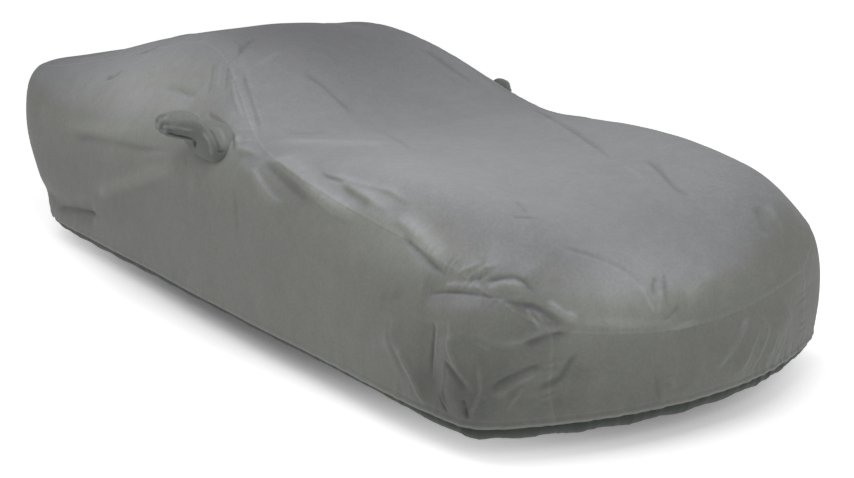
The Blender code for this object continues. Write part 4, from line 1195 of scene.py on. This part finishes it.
def cloth_material(name, colour, skylight_colour):
    """Matt woven cover cloth: weave, fine crumple, mottling, painted highlight and shade on its
    folds, and painted light and shade by place.
    """
    cloth, tree, shader = new_material(name, CLOTH_SURFACE)
    place = add_node(tree, "TexCoord", "Object", {})

    def noise_of(scale, detail, roughness):
        return add_node(tree, "TexNoise", "Fac", {"Vector": place, "Scale": scale,
                                                  "Detail": detail, "Roughness": roughness})

    def ranged(value, low, high, span=NOISE_SPAN):
        return add_node(tree, "MapRange", "Result", {"Value": value, "From Min": span[0],
                                                     "From Max": span[1], "To Min": low,
                                                     "To Max": high})

    def mark(word):
        return add_node(tree, "Attribute", "Fac", {}, attribute_name=word)

    def scaled(vector, factor):
        return add_node(tree, "VectorMath", "Vector", {0: vector, "Scale": factor},
                        operation="SCALE")

    def mixed(word, plain, marked):
        return add_node(tree, "Mix", "Result", {"Factor": mark(word), "A": plain, "B": marked},
                        data_type="RGBA")

    # Painted skylight: bluer and paler where the cloth faces up.
    tint = mixed("upper", (*colour, 1.0), (*skylight_colour, 1.0))
    # Painted shade on the turned-under hem.
    tint = mixed("turned", tint, (*PAINTED_UNDER_SHADE, 1.0))
    for *texture, low, high in MOTTLES:
        tint = scaled(tint, ranged(noise_of(*texture), low, high))
    # Painted highlight on the creases' ridges and painted shade in their troughs.
    tint = scaled(tint, ranged(mark("fold"), 1.0 - PAINTED_FOLD_SHADE, 1.0 + PAINTED_FOLD_SHADE, (-1.0, 1.0)))
    # Painted light and shade: the broad places, the painted highlights at the seams and hem, and
    # the pocket's painted shade.
    tint = scaled(tint, mark("painted_light_and_shade"))

    # Crossing threads: a product of sines along each two axes.
    wave = add_node(tree, "VectorMath", "Vector", {0: scaled(place, WEAVE_TURN)}, operation="SINE")
    apart = add_node(tree, "SeparateXYZ", "X", {"Vector": wave}).node.outputs
    turned = add_node(tree, "CombineXYZ", "Vector",
                      {"X": apart["Z"], "Y": apart["X"], "Z": apart["Y"]})
    crossing = add_node(tree, "VectorMath", "Value", {0: wave, 1: turned}, operation="DOT_PRODUCT")
    weave = add_node(tree, "Bump", "Normal", {**WEAVE_BUMP, "Height": crossing})
    crumple = add_node(tree, "Bump", "Normal",
                       {**CRUMPLE_BUMP, "Normal": weave, "Height": noise_of(*CRUMPLE)})
    fill(tree, shader, {"Base Color": tint, "Normal": crumple,
                        "Roughness": ranged(noise_of(*ROUGHNESS[:3]), *ROUGHNESS[3:])})
    return cloth


def thread_material():
    """Sewing thread: a little paler than the cloth, and twisted."""
    thread, tree, shader = new_material("sewing_thread", THREAD_SURFACE)
    place = add_node(tree, "TexCoord", "Object", {})
    twist = add_node(tree, "TexNoise", "Fac", {"Vector": place, "Scale": THREAD_TWISTS})
    dark, pale = [(*[share * part for part in THREAD_COLOUR], 1.0) for share in THREAD_SHADES]
    shade = add_node(tree, "Mix", "Result", {"Factor": twist, "A": dark, "B": pale},
                     data_type="RGBA")
    raised = add_node(tree, "Bump", "Normal", {**THREAD_BUMP, "Height": twist})
    fill(tree, shader, {"Base Color": shade, "Normal": raised})
    return thread


# ---------------------------------------------------------------- pieces
def add_piece(name, points, faces, material, marks):
    """A finished piece, moved to the frame of the solids; marks are values at its points."""
    used, numbers = np.unique(faces, return_inverse=True)
    mesh = bpy.data.meshes.new(name)
    mesh.from_pydata((points[used] + CARRY).tolist(), [], numbers.reshape(faces.shape).tolist())
    for word, values in marks.items():
        layer = mesh.attributes.new(word, "FLOAT", "POINT")
        layer.data.foreach_set("value", values[used].astype(np.float32))
    mesh.shade_smooth()
    mesh.materials.append(material)
    piece = add_object(name, mesh)
    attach(piece, "root")
    return piece


def add_panels(points, quads, panels, seams, normals, marks, cloth):
    """The five panels, each with its laps over the panels beside it."""
    stitches = []
    for number, name in enumerate(PANELS):
        own_points = points
        own_quads = quads[panels == number]
        own_marks = marks
        for place in POCKET_PLACES:
            if name == "side_panel_" + place[0]:
                own_quads = own_quads[~under_pocket(place, points, own_quads)]
        own_seams = [seam for seam in seams if seam[0] == number]
        if own_seams:
            gap, _ = seam_field(own_seams, points)
            own_points = points + normals * (LAP_RISE * np.exp(-(gap / LAP_SPREAD) ** 2))[:, None]
        for seam in own_seams:
            _, line, closes = seam
            way = way_off(seam, points, normals, quads, panels)
            more_points, more_quads = lap_strip(seam, points, normals, way, len(own_points))
            own_points = np.vstack((own_points, more_points))
            own_quads = np.vstack((own_quads, more_quads))
            own_marks = {word: np.concatenate((values, np.tile(values[line], len(LAP))))
                         for word, values in own_marks.items()}
            places = points[line] + way * STITCH_OUT + normals[line] * LAP[0][1]
            stitches.append(stitch_row(places, normals[line], closes))
        piece = add_piece(name + "_cloth", own_points, own_quads, cloth, own_marks)
        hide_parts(name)
    return stitches


def add_pockets(points, quads, panels, cloth):
    """The two pockets, seated on the side panels."""
    eye_tree = None
    for place in POCKET_PLACES:
        faces = quads[panels == PANELS.index("side_panel_" + place[0])]
        own_points, normals, own_quads = pocket_arrays(place, tree_of(points, faces))
        tree = tree_of(own_points, own_quads)
        eye_tree = eye_tree or tree
        lift = pocket_lift(place, own_points, normals, tree, eye_tree)
        own_points = own_points + normals * lift[:, None]
        # Painted shade on the pocket's front and under side, and painted highlight and shade on its
        # creases.
        shade = soft_step(POCKET_SHADED[0] + normals[:, 1:] @ np.array(POCKET_SHADED[1:]))
        fold = np.clip(lift / POCKET_PAINTED_FOLD_FULL_AT, -1.0, 1.0)
        plain = np.zeros(len(own_points))
        marks = {"turned": plain, "fold": fold, "upper": plain,
                 "painted_light_and_shade": (1.0 - POCKET_SHADE * shade) * (1.0 + POCKET_PAINTED_FOLD_SHADE * fold)}
        name = "mirror_pocket_" + place[0]
        piece = add_piece(name + "_cloth", own_points, own_quads, cloth, marks)
        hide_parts(name)


def add_stitches(name, rows, thread):
    """Rows of stitches as one piece."""
    count = np.cumsum([0] + [len(points) for points, _ in rows])
    points = np.vstack([points for points, _ in rows])
    faces = np.vstack([faces + start for (_, faces), start in zip(rows, count)])
    add_piece(name, points, faces, thread, {})


# ---------------------------------------------------------------- the studio
WHITE = (1.0, 1.0, 1.0, 1.0)
FLOOR_HALF = 40.0
FLOOR_SURFACE = {"Base Color": (0.90, 0.90, 0.90, 1.0), "Roughness": 0.9,
                 "Specular IOR Level": 0.1, "Emission Color": WHITE}
# The floor glows as painted light, a little near the cover and more past it, so that a painted
# pool of shade lies round the cover and the floor stays white to its edge.
# The distance is from the ground under the cover's middle, and counts more sideways.
FLOOR_SIDEWAYS = 2.1
FLOOR_NEAR = 1.6
FLOOR_FAR = 3.0
FLOOR_GLOW = (0.08, 0.60)

# Soft boxes: place and aim from the ground under the cover's middle, size and watts.
SOFT_BOXES = (
    ("over_nose", (0.0, -1.5, 2.9), (0.0, -1.2, 0.8), 2.0, 36.0),
    ("by_shoulder", (-1.3, -1.2, 2.2), (-0.5, -1.1, 0.8), 1.2, 10.5),
    ("by_roof", (-2.0, 1.0, 2.2), (-0.7, 1.0, 0.9), 1.6, 17.5),
)
# One broad light from far off: where it comes from, how wide it is in degrees, strength.
BROAD_LIGHT = ((0.0, -0.8, 0.6), 60.0, 0.62)
SKY = 0.35                # strength of the white studio around it


def add_floor():
    """A pale studio floor that glows, as painted light."""
    mesh = bpy.data.meshes.new("floor")
    mesh.from_pydata([(x * FLOOR_HALF, y * FLOOR_HALF, 0.0)
                      for x, y in ((-1, -1), (1, -1), (1, 1), (-1, 1))], [], [(0, 1, 2, 3)])
    floor = add_object("floor", mesh)
    floor.location = CARRY
    pale, tree, shader = new_material("pale_floor", FLOOR_SURFACE)
    place = add_node(tree, "TexCoord", "Object", {})
    stretched = add_node(tree, "VectorMath", "Vector", {0: place, 1: (FLOOR_SIDEWAYS, 1.0, 1.0)},
                         operation="MULTIPLY")
    far = add_node(tree, "VectorMath", "Value", {0: stretched}, operation="LENGTH")
    glow = add_node(tree, "MapRange", "Result", {
        "Value": far, "From Min": FLOOR_NEAR, "From Max": FLOOR_FAR,
        "To Min": FLOOR_GLOW[0], "To Max": FLOOR_GLOW[1]}, interpolation_type="SMOOTHSTEP")
    fill(tree, shader, {"Emission Strength": glow})
    mesh.materials.append(pale)


def add_lamp(name, kind, strength, rotation):
    """A light with its strength and direction, and its data."""
    data = bpy.data.lights.new(name, kind)
    data.energy = strength
    lamp = add_object(name, data)
    lamp.rotation_euler = rotation.to_euler()
    return lamp, data


def add_lights():
    """Soft lights, with a white studio around them."""
    source, angle, strength = BROAD_LIGHT
    _, data = add_lamp("front", "SUN", strength, Vector(source).to_track_quat("Z", "Y"))
    data.angle = math.radians(angle)
    for name, place, aim, size, watts in SOFT_BOXES:
        toward = Vector(aim) - Vector(place)
        lamp, data = add_lamp(name, "AREA", watts, toward.to_track_quat("-Z", "Y"))
        lamp.location = Vector(place) + Vector(CARRY)
        data.size = size
    world = bpy.data.worlds.new("studio")
    world.use_nodes = True
    fill(world.node_tree, world.node_tree.nodes["Background"], {"Color": WHITE, "Strength": SKY})
    bpy.context.scene.world = world
    bpy.context.scene.view_settings.view_transform = "Standard"


def add_camera():
    """The photo's camera."""
    data = bpy.data.cameras.new("camera")
    data.sensor_width = SENSOR
    data.lens = SENSOR * FOCAL_PIXELS / FRAME_WIDTH
    camera = add_object("camera", data)
    camera.location = Vector(EYE + CARRY)
    camera.rotation_euler = (math.pi / 2.0 - EYE_PITCH, 0.0, -EYE_YAW)
    bpy.context.scene.camera = camera


def add_cover():
    """The cover's cloth and its stitches."""
    points, normals, quads, panels = smoothed_arrays(cage_mesh(), SMOOTHING)
    plain_points, _, plain_quads, _ = smoothed_arrays(cage_mesh(), SEEING_SMOOTHING)
    seams = seam_lines(quads, panels)
    gap, run = seam_field(seams, points)
    fine = fine_lift(points, normals, crease_lines(tree_of(plain_points, plain_quads)))
    lift = (fold_lift(points, normals) + slack_lift(points) + fine + uneven_lift(points)
            + pucker_lift(gap, run, points) + hem_lift(points))
    points = points + normals * lift[:, None]
    edge = rim_loop(quads)[0]
    # turned: each point's share of the painted shade under the hem.
    points, quads, panels, turned = turn_hem_under(points, normals_of(points, quads), quads, panels)
    # fold: the fine creases' painted highlight and shade.
    fold = np.clip(fine / PAINTED_FOLD_FULL_AT, -1.0, 1.0)
    fold, gap = [np.concatenate((value, np.tile(value[edge], len(HEM_LIP) + len(HEM_ROWS))))
                 for value in (fold, gap)]
    normals = normals_of(points, quads)
    # Painted light and shade by place, and painted highlights along the seams and the hem's roll.
    painted_light_and_shade = painted_light_by_place(1.0, points, PAINTED_LIGHT_PLACES) + painted_edge_highlight(points, gap, turned)
    marks = {"turned": turned, "fold": fold, "painted_light_and_shade": painted_light_and_shade, "upper": painted_skylight_share(points, normals)}
    stitches = add_panels(points, quads, panels, seams, normals, marks,
                          cloth_material("cover_cloth", HUNG_COLOUR, PAINTED_SKYLIGHT_COLOUR))
    add_pockets(points, quads, panels, cloth_material("pocket_cloth", SHADED_POCKET_COLOUR, SHADED_POCKET_COLOUR))
    thread = thread_material()
    add_stitches("seam_stitches", stitches, thread)
    add_stitches("hem_stitches", [hem_stitches(points, normals, quads, edge)], thread)


add_cover()
add_floor()
add_lights()
add_camera()
